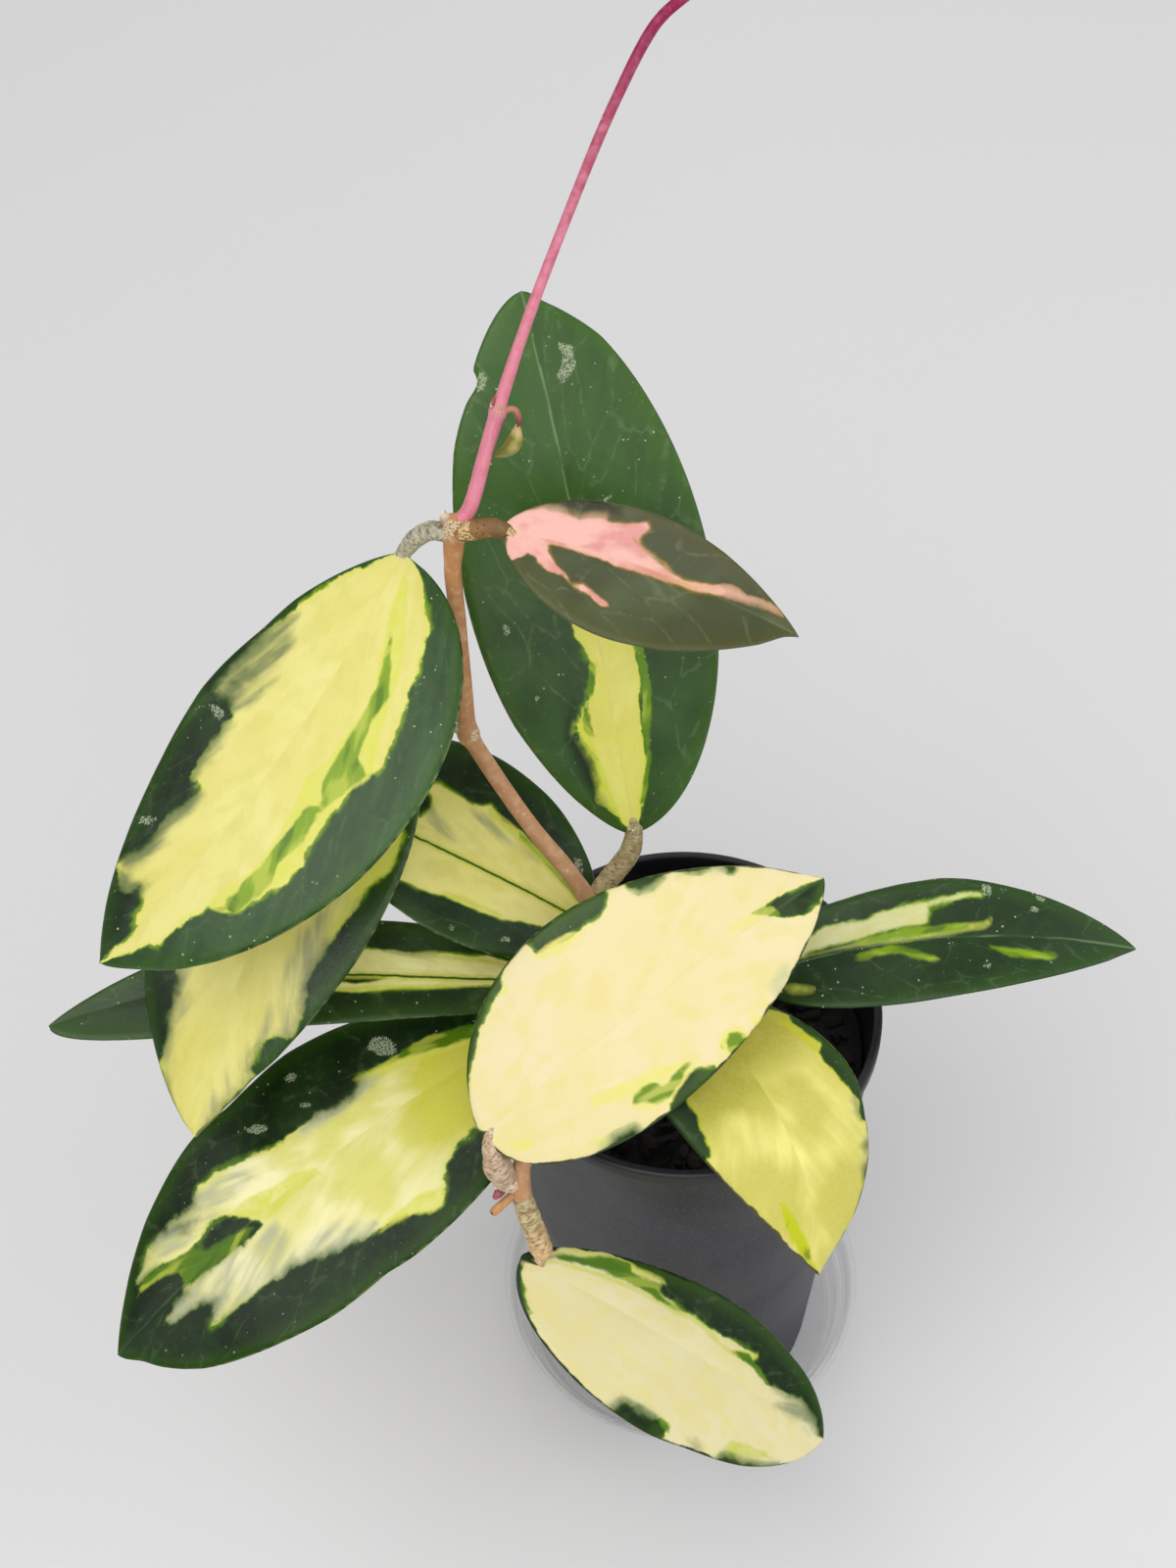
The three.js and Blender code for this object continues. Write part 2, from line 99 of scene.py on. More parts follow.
class Wiring:
    """Adds nodes to one node tree and joins them."""

    def __init__(self, tree: bpy.types.NodeTree) -> None:
        """Starts on an empty tree."""
        self.tree = tree

    def add(self, kind: str, feeds: Optional[dict[str, Feed]] = None, **settings: object) -> bpy.types.Node:
        """Adds a node.

        Args:
            kind: the node's type name.
            feeds: what each named input gets, a value or another node's socket.
            settings: the node's own properties.

        Returns:
            The new node.
        """
        node = self.tree.nodes.new(kind)
        for name, value in settings.items():
            setattr(node, name, value)
        for name, value in (feeds or {}).items():
            self.feed(node.inputs[name], value)
        return node

    def feed(self, socket: bpy.types.NodeSocket, value: Feed) -> None:
        """Links a socket, or sets its plain value."""
        if isinstance(value, bpy.types.NodeSocket):
            self.tree.links.new(value, socket)
        else:
            socket.default_value = value

    def math(self, operation: str, first: Feed, second: Feed = 0.0, clamp: bool = False) -> bpy.types.NodeSocket:
        """Adds a Math node and returns its result."""
        node = self.tree.nodes.new("ShaderNodeMath")
        node.operation = operation
        node.use_clamp = clamp
        self.feed(node.inputs[0], first)
        self.feed(node.inputs[1], second)
        return node.outputs[0]

    def times(self, first: Feed, *others: Feed) -> Feed:
        """Multiplies numbers with each other."""
        for other in others:
            first = self.math("MULTIPLY", first, other)
        return first

    def sum(self, *terms: tuple[Feed, float], start: float = 0.0) -> bpy.types.NodeSocket:
        """Adds up numbers, each taken a given number of times, from a starting value."""
        total: Feed = start
        for value, times in terms:
            node = self.add("ShaderNodeMath", operation="MULTIPLY_ADD")
            for socket, item in zip(node.inputs, (value, times, total)):
                self.feed(socket, item)
            total = node.outputs[0]
        return total

    def step(
        self, value: Feed, low: Feed, high: Feed, to_low: Feed = 0.0, to_high: Feed = 1.0,
    ) -> bpy.types.NodeSocket:
        """Maps low..high smoothly on to to_low..to_high, and returns the result."""
        feeds = {"Value": value, "From Min": low, "From Max": high, "To Min": to_low, "To Max": to_high}
        return self.add("ShaderNodeMapRange", feeds, interpolation_type="SMOOTHSTEP").outputs["Result"]

    def mix(self, factor: Feed, under: Feed, over: Feed) -> bpy.types.NodeSocket:
        """Lays one colour over another by a factor, and returns the result."""
        node = self.add("ShaderNodeMix", data_type="RGBA", clamp_factor=True)
        factor_input, under_input, over_input, colour_output = 0, 6, 7, 2
        self.feed(node.inputs[factor_input], factor)
        self.feed(node.inputs[under_input], under)
        self.feed(node.inputs[over_input], over)
        return node.outputs[colour_output]

    def vector(self, x: Feed, y: Feed, z: Feed = 0.0) -> bpy.types.NodeSocket:
        """Joins three numbers into a vector."""
        return self.add("ShaderNodeCombineXYZ", {"X": x, "Y": y, "Z": z}).outputs[0]

    def noise(self, vector: Feed, scale: float, detail: float, rough: float) -> bpy.types.NodeSocket:
        """Adds a noise pattern of 0 to 1 on a vector."""
        feeds = {"Vector": vector, "Scale": scale, "Detail": detail, "Roughness": rough}
        return self.add("ShaderNodeTexNoise", feeds).outputs[0]

    def attribute(self, name: str) -> bpy.types.NodeSocket:
        """Reads a number that the mesh carries at its points."""
        return self.add("ShaderNodeAttribute", attribute_name=name).outputs["Fac"]

    def object_place(self) -> bpy.types.NodeSocket:
        """Reads the place on the piece, in metres."""
        return self.add("ShaderNodeTexCoord").outputs["Object"]

    def bump(self, height: Feed, strength: float, reach: float) -> bpy.types.NodeSocket:
        """Turns a height into a normal for a shader."""
        feeds = {"Height": height, "Strength": strength, "Distance": reach}
        return self.add("ShaderNodeBump", feeds).outputs["Normal"]

    def put_out(self, out: bpy.types.Node, colour: Feed, rough: Feed, height: Feed) -> bpy.types.NodeTree:
        """Feeds the outputs of an effect, and returns its group."""
        for name, value in (("Colour", colour), ("Roughness", rough), ("Height", height)):
            self.feed(out.inputs[name], value)
        return self.tree


def principled_material(name: str) -> tuple[bpy.types.Material, Wiring, bpy.types.Node]:
    """Makes a material with one Principled shader, and gives it with its wiring and its shader."""
    material = bpy.data.materials.new(name)
    material.use_nodes = True
    wiring = Wiring(material.node_tree)
    return material, wiring, wiring.tree.nodes["Principled BSDF"]


@dataclass(frozen=True)
class Effect:
    """A shader node group with named inputs, which puts out a skin's colour, roughness and height."""

    outputs: ClassVar[dict[str, str]] = {
        "Colour": "NodeSocketColor", "Roughness": "NodeSocketFloat", "Height": "NodeSocketFloat",
    }

    name: str
    inputs: dict[str, Union[float, Screen]]

    def start(self) -> tuple[Wiring, dict[str, bpy.types.NodeSocket], bpy.types.Node]:
        """Makes the empty group.

        Returns:
            The wiring of its tree, its inputs by name, and its output node.
        """
        tree = bpy.data.node_groups.new(self.name, "ShaderNodeTree")
        for name, value in self.inputs.items():
            kind = "NodeSocketColor" if isinstance(value, tuple) else "NodeSocketFloat"
            socket = tree.interface.new_socket(name=name, in_out="INPUT", socket_type=kind)
            socket.default_value = as_shader_value(value)
        for name, kind in self.outputs.items():
            tree.interface.new_socket(name=name, in_out="OUTPUT", socket_type=kind)
        wiring = Wiring(tree)
        entry = wiring.add("NodeGroupInput")
        return wiring, {name: entry.outputs[name] for name in self.inputs}, wiring.add("NodeGroupOutput")


class Variegation:
    """Wires the leaf markings: dark, lime and cream tissue with crisp or veiled edges, veins, a rim and flecks.

    The mesh carries, in millimetres, how deep each point lies inside the cream, pale, lime, veiled and scarred
    regions, how far it is along and across the leaf, how far in from the margin and how far off the green line.
    """

    inputs: ClassVar[dict[str, Union[float, Screen]]] = {
        "Dark": (24, 52, 14), "Deep": (12, 36, 6), "Mid": (58, 98, 8), "Lime": (140, 172, 10),
        "Pale Lime": (214, 216, 84), "Cream": (230, 222, 140), "Yellow": (220, 212, 112), "Veil": (160, 164, 120),
        "Scar": (176, 187, 154), "Underside": (128, 142, 84), "Wash": (62, 92, 46), "Shade": (12, 32, 6),
        "Blush": (208, 200, 92), "Ragged": 1.0, "Soft": 0.22, "Fringe": 1.0, "Rim": 0.8, "Flecks": 0.5,
        "Rib": 0.3, "Veins": 0.1, "Base Yellow And Shadow Reach": 1.0, "Haze": 0.5, "Tip Wash": 0.0, "Left Painted Sheen": 0.0,
        "Blushes": 0.3, "Seed": 0.0,
    }
    vein_lean: ClassVar[tuple[float, float]] = (0.94, 0.34)
    dot_sizes: ClassVar[tuple[tuple[float, float, float], ...]] = ((0.80, 0.64, 0.22), (0.28, 0.78, 0.12))

    def __init__(self) -> None:
        """Starts the group with the places and patterns that all tissues share."""
        self.w, self.given, self.out = Effect("hoya_variegation", self.inputs).start()
        w, given = self.w, self.given
        ahead, aside = self.vein_lean
        self.along, self.across = w.attribute("along"), w.attribute("across")
        self.reach = w.math("ABSOLUTE", self.across)
        self.outward = w.sum((self.along, ahead), (self.reach, aside))
        self.crossing = w.sum((self.reach, ahead), (self.along, -aside))
        self.lane = w.sum((w.math("SIGN", self.across), 7.0), (given["Seed"], 1.0))
        self.flat = w.vector(self.along, self.across, self.lane)
        long_place = w.vector(w.times(self.outward, 0.06), w.times(self.crossing, 0.28), self.lane)
        self.streaks = w.noise(long_place, 1.0, 2.0, 0.5)
        self.ripples = w.noise(self.flat, 0.34, 2.0, 0.5)
        self.crisp = w.noise(self.flat, 1.2, 2.0, 0.5)
        self.drift = w.noise(self.flat, 0.06, 1.0, 0.5)
        wander = w.sum((self.streaks, 2.6), (self.ripples, 2.4), (self.crisp, 0.55), start=-2.78)
        self.wander = w.times(wander, given["Ragged"])
        self.veil = w.step(w.sum((w.attribute("veil"), 1.0), (self.wander, 0.9)), -1.8, 1.6)
        self.bare = w.math("SUBTRACT", 1.0, self.veil)
        self.soft = w.step(self.veil, 0.0, 1.0, given["Soft"], 2.3)
        self.depth = w.sum((w.attribute("cream"), 1.0), (self.wander, 1.0))
        self.cream = w.step(self.depth, w.times(self.soft, -0.8), self.soft)

    def dark_tissue(self) -> Feed:
        """Wires the green, washed lighter towards the tip and, as a painted sheen, towards the left, and brighter at
        the margin, where the sheen falling off over the curved edge is painted.
        """
        w, given = self.w, self.given
        colour = w.mix(w.step(self.drift, 0.36, 0.62), given["Dark"], given["Deep"])
        tipward = w.times(w.step(self.along, 45.0, 95.0), given["Tip Wash"])
        # the lighter green towards the left is painted sheen, standing in for the light's reflection on that side of
        # the leaf
        left_painted_sheen = w.times(w.step(self.across, -6.0, 12.0), given["Left Painted Sheen"])
        washed = w.times(w.math("MAXIMUM", tipward, left_painted_sheen), w.step(self.streaks, 0.3, 0.7, 0.5, 1.0))
        colour = w.mix(washed, colour, given["Wash"])
        colour = w.mix(w.step(self.ripples, 0.45, 0.75, 0.0, 0.16), colour, given["Mid"])
        # the greener band along the margin is painted: it stands in for the sheen falling off where the blade curves
        # down to its edge
        margin = w.sum((w.attribute("rim"), 1.0), (self.ripples, 3.0), start=-1.5)
        colour = w.mix(w.step(margin, 0.3, 5.5, 0.35, 0.0), colour, given["Mid"])
        return w.mix(w.times(self.veil, 0.85), colour, given["Shade"])

    def cream_edge(self, colour: Feed) -> Feed:
        """Wires the edge of the cream, wide and grey where thin tissue veils it and else crisp with a lime fringe."""
        w, given, soft = self.w, self.given, self.soft
        wide = w.step(w.noise(self.flat, 0.11, 1.0, 0.5), 0.40, 0.66, 0.10, 1.5)
        fringe = w.times(wide, given["Fringe"], self.bare)
        edge_colour = w.mix(self.veil, given["Lime"], w.mix(0.55, given["Dark"], given["Veil"]))
        outer = (w.sum((fringe, -1.0), (soft, -1.0), start=-0.4), w.times(fringe, -0.3))
        inner = (w.sum((fringe, -0.75), (soft, -0.7), start=-0.2), w.times(soft, 0.2))
        for edge, (out_of, into) in ((given["Mid"], outer), (edge_colour, inner)):
            colour = w.mix(w.times(w.step(self.depth, out_of, into), 0.85), colour, edge)
        return colour

    def cream_tissue(self, colour: Feed) -> Feed:
        """Wires the cream, yellower in patches and near the base, with its tinge, blush and veil. On leaf_lower_right
        the yellow is painted shadow.
        """
        w, given = self.w, self.given
        # near the base the yellow is the leaf's own tint, except on leaf_lower_right, where it is painted shadow
        near_base_yellow_and_shadow = w.math("DIVIDE", w.sum((self.along, 1.0), (self.drift, 10.0), start=-5.0), given["Base Yellow And Shadow Reach"])
        patchy = w.step(w.sum((self.drift, 0.8), (self.streaks, 0.2)), 0.36, 0.64)
        warm = w.sum((patchy, 0.7), (w.step(near_base_yellow_and_shadow, 0.35, 1.0, 1.0, 0.0), 1.0))
        cream = w.mix(warm, given["Cream"], given["Yellow"])
        cream = w.mix(w.step(self.crisp, 0.3, 0.7, 0.0, 0.06), cream, tint(255, 250, 205))
        patches = w.sum((w.noise(self.flat, 0.16, 2.0, 0.5), 0.55), (self.streaks, 0.45))
        cream = w.mix(w.times(w.step(patches, 0.46, 0.62), given["Blushes"]), cream, given["Blush"])
        tinge = w.times(w.step(self.depth, 0.0, 1.6, 0.45, 0.0), self.bare)
        cream = w.mix(w.times(tinge, given["Fringe"]), cream, given["Pale Lime"])
        haze = w.sum((w.step(self.streaks, 0.34, 0.66, -0.4, 0.35), 1.0), (given["Haze"], 1.0))
        cream = w.mix(w.times(self.veil, haze), cream, given["Veil"])
        return w.mix(self.cream, colour, cream)

    def lime_tissue(self, colour: Feed) -> Feed:
        """Wires the pale and lime tissue, with stronger green streaks in it, and the thin green line."""
        w, given = self.w, self.given
        blur = w.sum((self.soft, 0.7), start=0.22)
        thin = w.times(blur, -1.0)
        pale = w.step(w.sum((w.attribute("pale"), 1.0), (self.wander, 0.6)), thin, blur)
        colour = w.mix(w.times(pale, w.step(self.ripples, 0.3, 0.6, 0.95, 0.6)), colour, given["Pale Lime"])
        depth = w.sum((w.attribute("lime"), 1.0), (self.wander, 0.6))
        place = w.vector(w.times(self.outward, 0.06), w.times(self.crossing, 0.22), w.math("ADD", self.lane, 3.0))
        strength = w.noise(place, 1.0, 2.0, 0.45)
        lime = w.mix(w.step(strength, 0.40, 0.50, 0.45, 0.0), given["Lime"], given["Pale Lime"])
        lime = w.mix(w.step(w.sum((strength, 1.0), (depth, 0.02)), 0.56, 0.66, 0.0, 0.65), lime, given["Mid"])
        colour = w.mix(w.step(depth, thin, blur), colour, lime)
        off_line = w.math("ABSOLUTE", w.sum((w.attribute("line"), 1.0), (self.ripples, 0.6), start=-0.3))
        colour = w.mix(w.step(off_line, 0.5, 1.5, 0.7, 0.0), colour, given["Pale Lime"])
        return w.mix(w.step(off_line, 0.15, 0.5, 1.0, 0.0), colour, given["Mid"])

    def veins(self, colour: Feed) -> tuple[Feed, Feed]:
        """Wires the midrib, the net of side veins and the dark margin line.

        Args:
            colour: the colour of the tissue under them.

        Returns:
            The colour with the veins on it, and how strong the side veins are.
        """
        w, given = self.w, self.given
        breaks = w.step(w.noise(self.flat, 0.10, 1.0, 0.5), 0.42, 0.58, 0.15, 1.0)
        rib_line = w.times(w.step(self.reach, 0.10, 0.50, 1.0, 0.0), breaks)
        rib_colour = w.mix(self.cream, tint(120, 148, 104), tint(214, 206, 120))
        colour = w.mix(w.times(rib_line, given["Rib"]), colour, rib_colour)
        place = w.vector(w.sum((self.outward, 0.05), (self.ripples, 0.35)),
                         w.sum((self.crossing, 0.12), (self.drift, 0.6)), self.lane)
        feeds = {"Vector": place, "Scale": 1.0, "Randomness": 0.9}
        net = w.add("ShaderNodeTexVoronoi", feeds, feature="DISTANCE_TO_EDGE")
        line = w.times(w.step(net.outputs["Distance"], 0.0, 0.042, 1.0, 0.0), w.step(self.reach, 0.4, 2.0))
        line = w.times(line, w.step(self.ripples, 0.40, 0.60, 0.1, 1.0))
        vein_colour = w.mix(self.cream, tint(128, 146, 108), given["Yellow"])
        colour = w.mix(w.times(line, given["Veins"]), colour, vein_colour)
        swings = w.noise(self.flat, 0.16, 2.0, 0.5)
        rim_depth = w.sum((w.attribute("rim"), 1.0), (swings, -2.4), (self.crisp, -0.3), start=1.35)
        rim_line = w.times(w.step(rim_depth, 0.12, 0.60, 1.0, 0.0), given["Rim"])
        return w.mix(rim_line, colour, given["Dark"]), line

    def marks(self) -> Feed:
        """Wires the silvery dots, in clusters and mostly on the green, and the rubbed scars."""
        w, given, lane = self.w, self.given, self.lane
        crumbs = w.noise(self.flat, 2.3, 3.0, 0.65)
        cluster_place = w.vector(self.along, self.across, w.math("ADD", lane, 1.7))
        cluster = w.step(w.noise(cluster_place, 0.12, 2.0, 0.6), 0.47, 0.58)
        dots: Feed = 0.0
        for scale, kept, size in self.dot_sizes:
            cells = w.add("ShaderNodeTexVoronoi", {"Vector": self.flat, "Scale": scale, "Randomness": 1.0})
            pick = w.add("ShaderNodeSeparateColor", {"Color": cells.outputs["Color"]})
            dot = w.math("SUBTRACT", cells.outputs["Distance"], w.step(pick.outputs[0], 0.0, 1.0, 0.03, size))
            dot = w.step(w.sum((dot, 1.0), (crumbs, 0.3), start=-0.15), -0.05, 0.02, 1.0, 0.0)
            dots = w.math("MAXIMUM", dots, w.times(dot, w.step(pick.outputs[1], kept, kept + 0.03)))
        fleck = w.times(dots, w.step(cluster, 0.0, 1.0, 0.12, 1.0))
        fleck = w.times(fleck, given["Flecks"], w.step(self.cream, 0.0, 1.0, 1.0, 0.1))
        scar_depth = w.sum((w.attribute("scar"), 1.0), (self.ripples, 2.4), (crumbs, 2.0), start=-2.2)
        scar = w.times(w.step(scar_depth, -0.2, 0.2), w.step(crumbs, 0.45, 0.53, 0.08, 0.8))
        return w.math("MAXIMUM", fleck, scar)

    def finish(self) -> bpy.types.NodeTree:
        """Lays the tissues over each other and returns the group."""
        w, given = self.w, self.given
        colour = self.lime_tissue(self.cream_tissue(self.cream_edge(self.dark_tissue())))
        colour, vein_line = self.veins(colour)
        mark = self.marks()
        under = w.attribute("under")
        colour = w.mix(mark, colour, given["Scar"])
        colour = w.mix(w.times(under, 0.55), colour, given["Underside"])
        rough = w.sum((w.step(self.crisp, 0.35, 0.65, 0.32, 0.40), 1.0), (mark, 0.28), (under, 0.14))
        height = w.sum((w.step(self.reach, 0.0, 1.0, 1.0, 0.0), -0.2), (self.crisp, 0.10), (self.ripples, 0.5),
                       (vein_line, -0.08), (mark, 0.10), (self.drift, 2.0))
        return w.put_out(self.out, colour, rough, height)


def variegation_group() -> bpy.types.NodeTree:
    """Builds the leaf markings."""
    return Variegation().finish()


def limb_skin_group() -> bpy.types.NodeTree:
    """Builds the skin of stems and petioles: two tints along the limb, cork, wrinkles and pale specks, with painted
    shade in the ring hollows and bark furrows and a painted highlight on the ring crests.
    """
    w, given, out = Effect("limb_skin", {
        "Near": (180, 120, 90), "Far": (180, 120, 90), "Hollow Shade And Dark Bark": (90, 62, 48), "Speck": (215, 200, 170),
        "Flake": (214, 194, 158), "Turn": 0.0, "Turned": 1.0, "Wrinkles": 0.0, "Ridges": 0.5, "Specks": 0.3,
        "Pits": 0.0, "Smoothness": 0.0,
    }).start()
    run, crest = w.attribute("run"), w.attribute("crest")
    place = w.object_place()
    turn_x, turn_y = (w.times(w.attribute(name), 3.2) for name in ("turn_x", "turn_y"))
    ridges = w.noise(w.vector(w.times(run, 0.16), turn_x, turn_y), 1.0, 3.0, 0.6)
    blotch = w.noise(place, 420.0, 2.0, 0.5)
    grain = w.noise(place, 2300.0, 2.0, 0.6)
    share = w.sum((w.attribute("share"), 1.0), (blotch, 0.5), start=-0.25)
    colour = w.mix(w.step(share, given["Turn"], given["Turned"]), given["Near"], given["Far"])
    colour = w.mix(w.times(w.step(blotch, 0.46, 0.66), 0.3), colour, given["Speck"])
    # the sunk hollows of the mesh's rings are darkened and their crests lightened: painted shade and painted highlight
    raised_highlight, sunk_shade = w.step(crest, 0.55, 1.0), w.step(crest, 0.0, 0.5, 1.0, 0.0)
    colour = w.mix(w.times(raised_highlight, w.times(given["Wrinkles"], 0.55)), colour, given["Speck"])
    colour = w.mix(w.times(sunk_shade, given["Wrinkles"]), colour, given["Hollow Shade And Dark Bark"])
    # the low parts of the bark ridges, which the bump sinks, are darkened: painted shade
    furrow_shade = w.times(w.step(ridges, 0.34, 0.5, 1.0, 0.0), given["Ridges"])
    colour = w.mix(w.times(furrow_shade, 0.5), colour, given["Hollow Shade And Dark Bark"])
    cells = w.add("ShaderNodeTexVoronoi", {"Vector": place, "Scale": 640.0, "Randomness": 1.0})
    pick = w.add("ShaderNodeSeparateColor", {"Color": cells.outputs["Color"]}).outputs[0]
    dot = w.step(w.sum((cells.outputs["Distance"], 1.0), (grain, 0.3)), 0.26, 0.34, 1.0, 0.0)
    pale = w.times(dot, w.step(pick, 0.5, 0.55), given["Specks"])
    pit = w.times(dot, w.step(pick, 0.45, 0.5, 1.0, 0.0), given["Pits"])
    colour = w.mix(pale, colour, given["Speck"])
    colour = w.mix(pit, colour, given["Hollow Shade And Dark Bark"])
    flake = w.step(w.sum((w.attribute("flake"), 1.0), (blotch, 1.6), (grain, 0.7), start=-1.15), 0.34, 0.46)
    colour = w.mix(flake, colour, w.mix(w.step(grain, 0.38, 0.5), given["Hollow Shade And Dark Bark"], given["Flake"]))
    rough = w.sum((w.step(blotch, 0.3, 0.7, 0.72, 0.60), 1.0), (given["Smoothness"], -0.28), (flake, 0.2))
    bark = w.times(ridges, given["Ridges"])
    height = w.sum((bark, 0.4), (flake, 0.5), (grain, 0.16), (pale, 0.15), (pit, -0.2))
    return w.put_out(out, colour, rough, height)


def moulded_plastic_group() -> bpy.types.NodeTree:
    """Builds moulded black plastic: a fine grain, faint cloudiness and dust in specks, and a darker lip with less
    dust, which is painted shade.
    """
    w, given, out = Effect("moulded_plastic", {
        "Body": (10, 10, 19), "Cloud": (17, 17, 27), "Dust": (68, 66, 78), "Dustiness": 0.6, "Shaded Lip From": 0.150,
    }).start()
    place = w.object_place()
    cloud = w.noise(place, 30.0, 3.0, 0.5)
    pebble = w.noise(place, 1250.0, 2.0, 0.55)
    colour = w.mix(w.step(cloud, 0.36, 0.64), given["Body"], given["Cloud"])
    height = w.add("ShaderNodeSeparateXYZ", {"Vector": place}).outputs["Z"]
    # the dust fades out above the given height, so the lip reads darker: painted shade
    shaded_lip_top = w.sum((given["Shaded Lip From"], 1.0), start=0.002)
    dust_off_shaded_lip = w.times(w.step(height, given["Shaded Lip From"], shaded_lip_top, 1.0, 0.1), given["Dustiness"])
    colour = w.mix(w.times(w.step(pebble, 0.50, 0.68), dust_off_shaded_lip), colour, given["Dust"])
    rough = w.sum((w.step(cloud, 0.3, 0.7, 0.36, 0.46), 1.0), (pebble, 0.16))
    return w.put_out(out, colour, rough, pebble)


class Groups:
    """The shared effects, each built when it is first asked for."""

    makers = {"variegation": variegation_group, "limb": limb_skin_group, "plastic": moulded_plastic_group}
    made: dict[str, bpy.types.NodeTree] = {}

    @classmethod
    def get(cls, name: str) -> bpy.types.NodeTree:
        """Returns a shared effect by its name."""
        if name not in cls.made:
            cls.made[name] = cls.makers[name]()
        return cls.made[name]


@dataclass(frozen=True)
class Finish:
    """A surface made by one shared effect and one Principled shader."""

    name: str
    group: str
    values: dict[str, Union[float, Screen]] = field(default_factory=dict)
    bump: float = 0.3
    bump_reach: float = 0.0004
    shader: dict[str, float] = field(default_factory=dict)

    def material(self) -> bpy.types.Material:
        """Builds the material.

        Returns:
            A material with the effect's colour, roughness and height in a Principled shader.
        """
        material, w, shader = principled_material(self.name)
        effect = w.add("ShaderNodeGroup", node_tree=Groups.get(self.group))
        for name, value in self.values.items():
            w.feed(effect.inputs[name], as_shader_value(value))
        w.feed(shader.inputs["Base Color"], effect.outputs["Colour"])
        w.feed(shader.inputs["Roughness"], effect.outputs["Roughness"])
        w.feed(shader.inputs["Normal"], w.bump(effect.outputs["Height"], self.bump, self.bump_reach))
        for name, value in self.shader.items():
            w.feed(shader.inputs[name], value)
        return material


# Shapes that more than one piece uses


def unit_grid(bm: bmesh.types.BMesh, columns: int, rows: int) -> tuple[list, np.ndarray, np.ndarray]:
    """Starts a grid that a formula then bends into a skin.

    Args:
        bm: the mesh to add it to.
        columns: how many faces across.
        rows: how many faces along.

    Returns:
        Its vertices, and how far across and along each one lies, from 0 to 1.
    """
    verts = bmesh.ops.create_grid(bm, x_segments=columns, y_segments=rows, size=0.5)["verts"]
    across = np.array([vert.co.x for vert in verts]) + 0.5
    along = np.array([vert.co.y for vert in verts]) + 0.5
    return verts, across, along


def carry(bm: bmesh.types.BMesh, verts: Sequence, **numbers: np.ndarray) -> None:
    """Writes named numbers on vertices, for materials to read."""
    for name, values in numbers.items():
        layer = bm.verts.layers.float.get(name) or bm.verts.layers.float.new(name)
        for vert, value in zip(verts, values):
            vert[layer] = float(value)


def ready_layers(bm: bmesh.types.BMesh, names: Sequence[str]) -> None:
    """Makes the layers before any vertex is made, because a new layer makes older vertex references stale."""
    for name in names:
        if bm.verts.layers.float.get(name) is None:
            bm.verts.layers.float.new(name)


def close_skin(bm: bmesh.types.BMesh, verts: Sequence, material_index: int = 0) -> None:
    """Joins a bent grid's seams and poles, turns its faces out and gives them a material."""
    faces = {face for vert in verts for face in vert.link_faces}
    for face in faces:
        face.material_index = material_index
    bmesh.ops.remove_doubles(bm, verts=list(verts), dist=WELD)
    alive = [face for face in bm.faces if face.material_index == material_index]
    bmesh.ops.recalc_face_normals(bm, faces=alive)


def link_mesh(name: str, bm: bmesh.types.BMesh) -> bpy.types.Object:
    """Turns a bmesh into an object in the scene, and frees the bmesh."""
    mesh = bpy.data.meshes.new(name)
    bm.to_mesh(mesh)
    bm.free()
    thing = bpy.data.objects.new(name, mesh)
    bpy.context.scene.collection.objects.link(thing)
    return thing


def save_piece(
    name: str, bm: bmesh.types.BMesh, materials: Sequence[bpy.types.Material], slot: Slot, *nodes: str,
    crease: float = 40.0,
) -> bpy.types.Object:
    """Turns a bmesh into a finished piece that rides with the model.

    Args:
        name: the piece's name.
        bm: its mesh, in metres. It is freed.
        materials: its materials, in the order of its faces' material indices.
        slot: the record's slot that it is finished from; not used.
        nodes: the CAD nodes that it stands for.
        crease: edges sharper than this angle in degrees stay sharp.

    Returns:
        The new object.
    """
    piece = link_mesh(name, bm)
    for material in materials:
        piece.data.materials.append(material)
    piece.data.shade_smooth()
    piece.data.set_sharp_from_angle(angle=math.radians(crease))
    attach(piece, "root")
    if nodes:
        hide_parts(*nodes)
    return piece


def smooth_curve(stations: Sequence[Station], step: float) -> tuple[np.ndarray, np.ndarray]:
    """Runs a smooth curve through stations, as the solid's limbs do.

    Args:
        stations: x, y, z and radius of each point.
        step: how far apart the curve's own points are, about.

    Returns:
        The curve's points and the radius at each.
    """
    knots = np.array(stations, dtype=float)
    places = knots[:, :3]
    ends = np.vstack([2 * places[0] - places[1], places, 2 * places[-1] - places[-2]])
    gaps = np.sqrt(np.linalg.norm(np.diff(ends, axis=0), axis=1))
    points, radii = [], []
    for i in range(len(places) - 1):
        before, start, end, after = ends[i:i + 4]
        d0, d1, d2 = gaps[i:i + 3]
        lead = ((start - before) / d0 - (end - before) / (d0 + d1) + (end - start) / d1) * d1
        trail = ((end - start) / d1 - (after - start) / (d1 + d2) + (after - end) / d2) * d1
        count = max(2, round(float(np.linalg.norm(end - start)) / step))
        for k in range(count + (i == len(places) - 2)):
            t = k / count
            points.append((2 * t**3 - 3 * t**2 + 1) * start + (t**3 - 2 * t**2 + t) * lead
                          + (3 * t**2 - 2 * t**3) * end + (t**3 - t**2) * trail)
            radii.append(knots[i, 3] + (knots[i + 1, 3] - knots[i, 3]) * t * t * (3 - 2 * t))
    return np.array(points), np.array(radii)


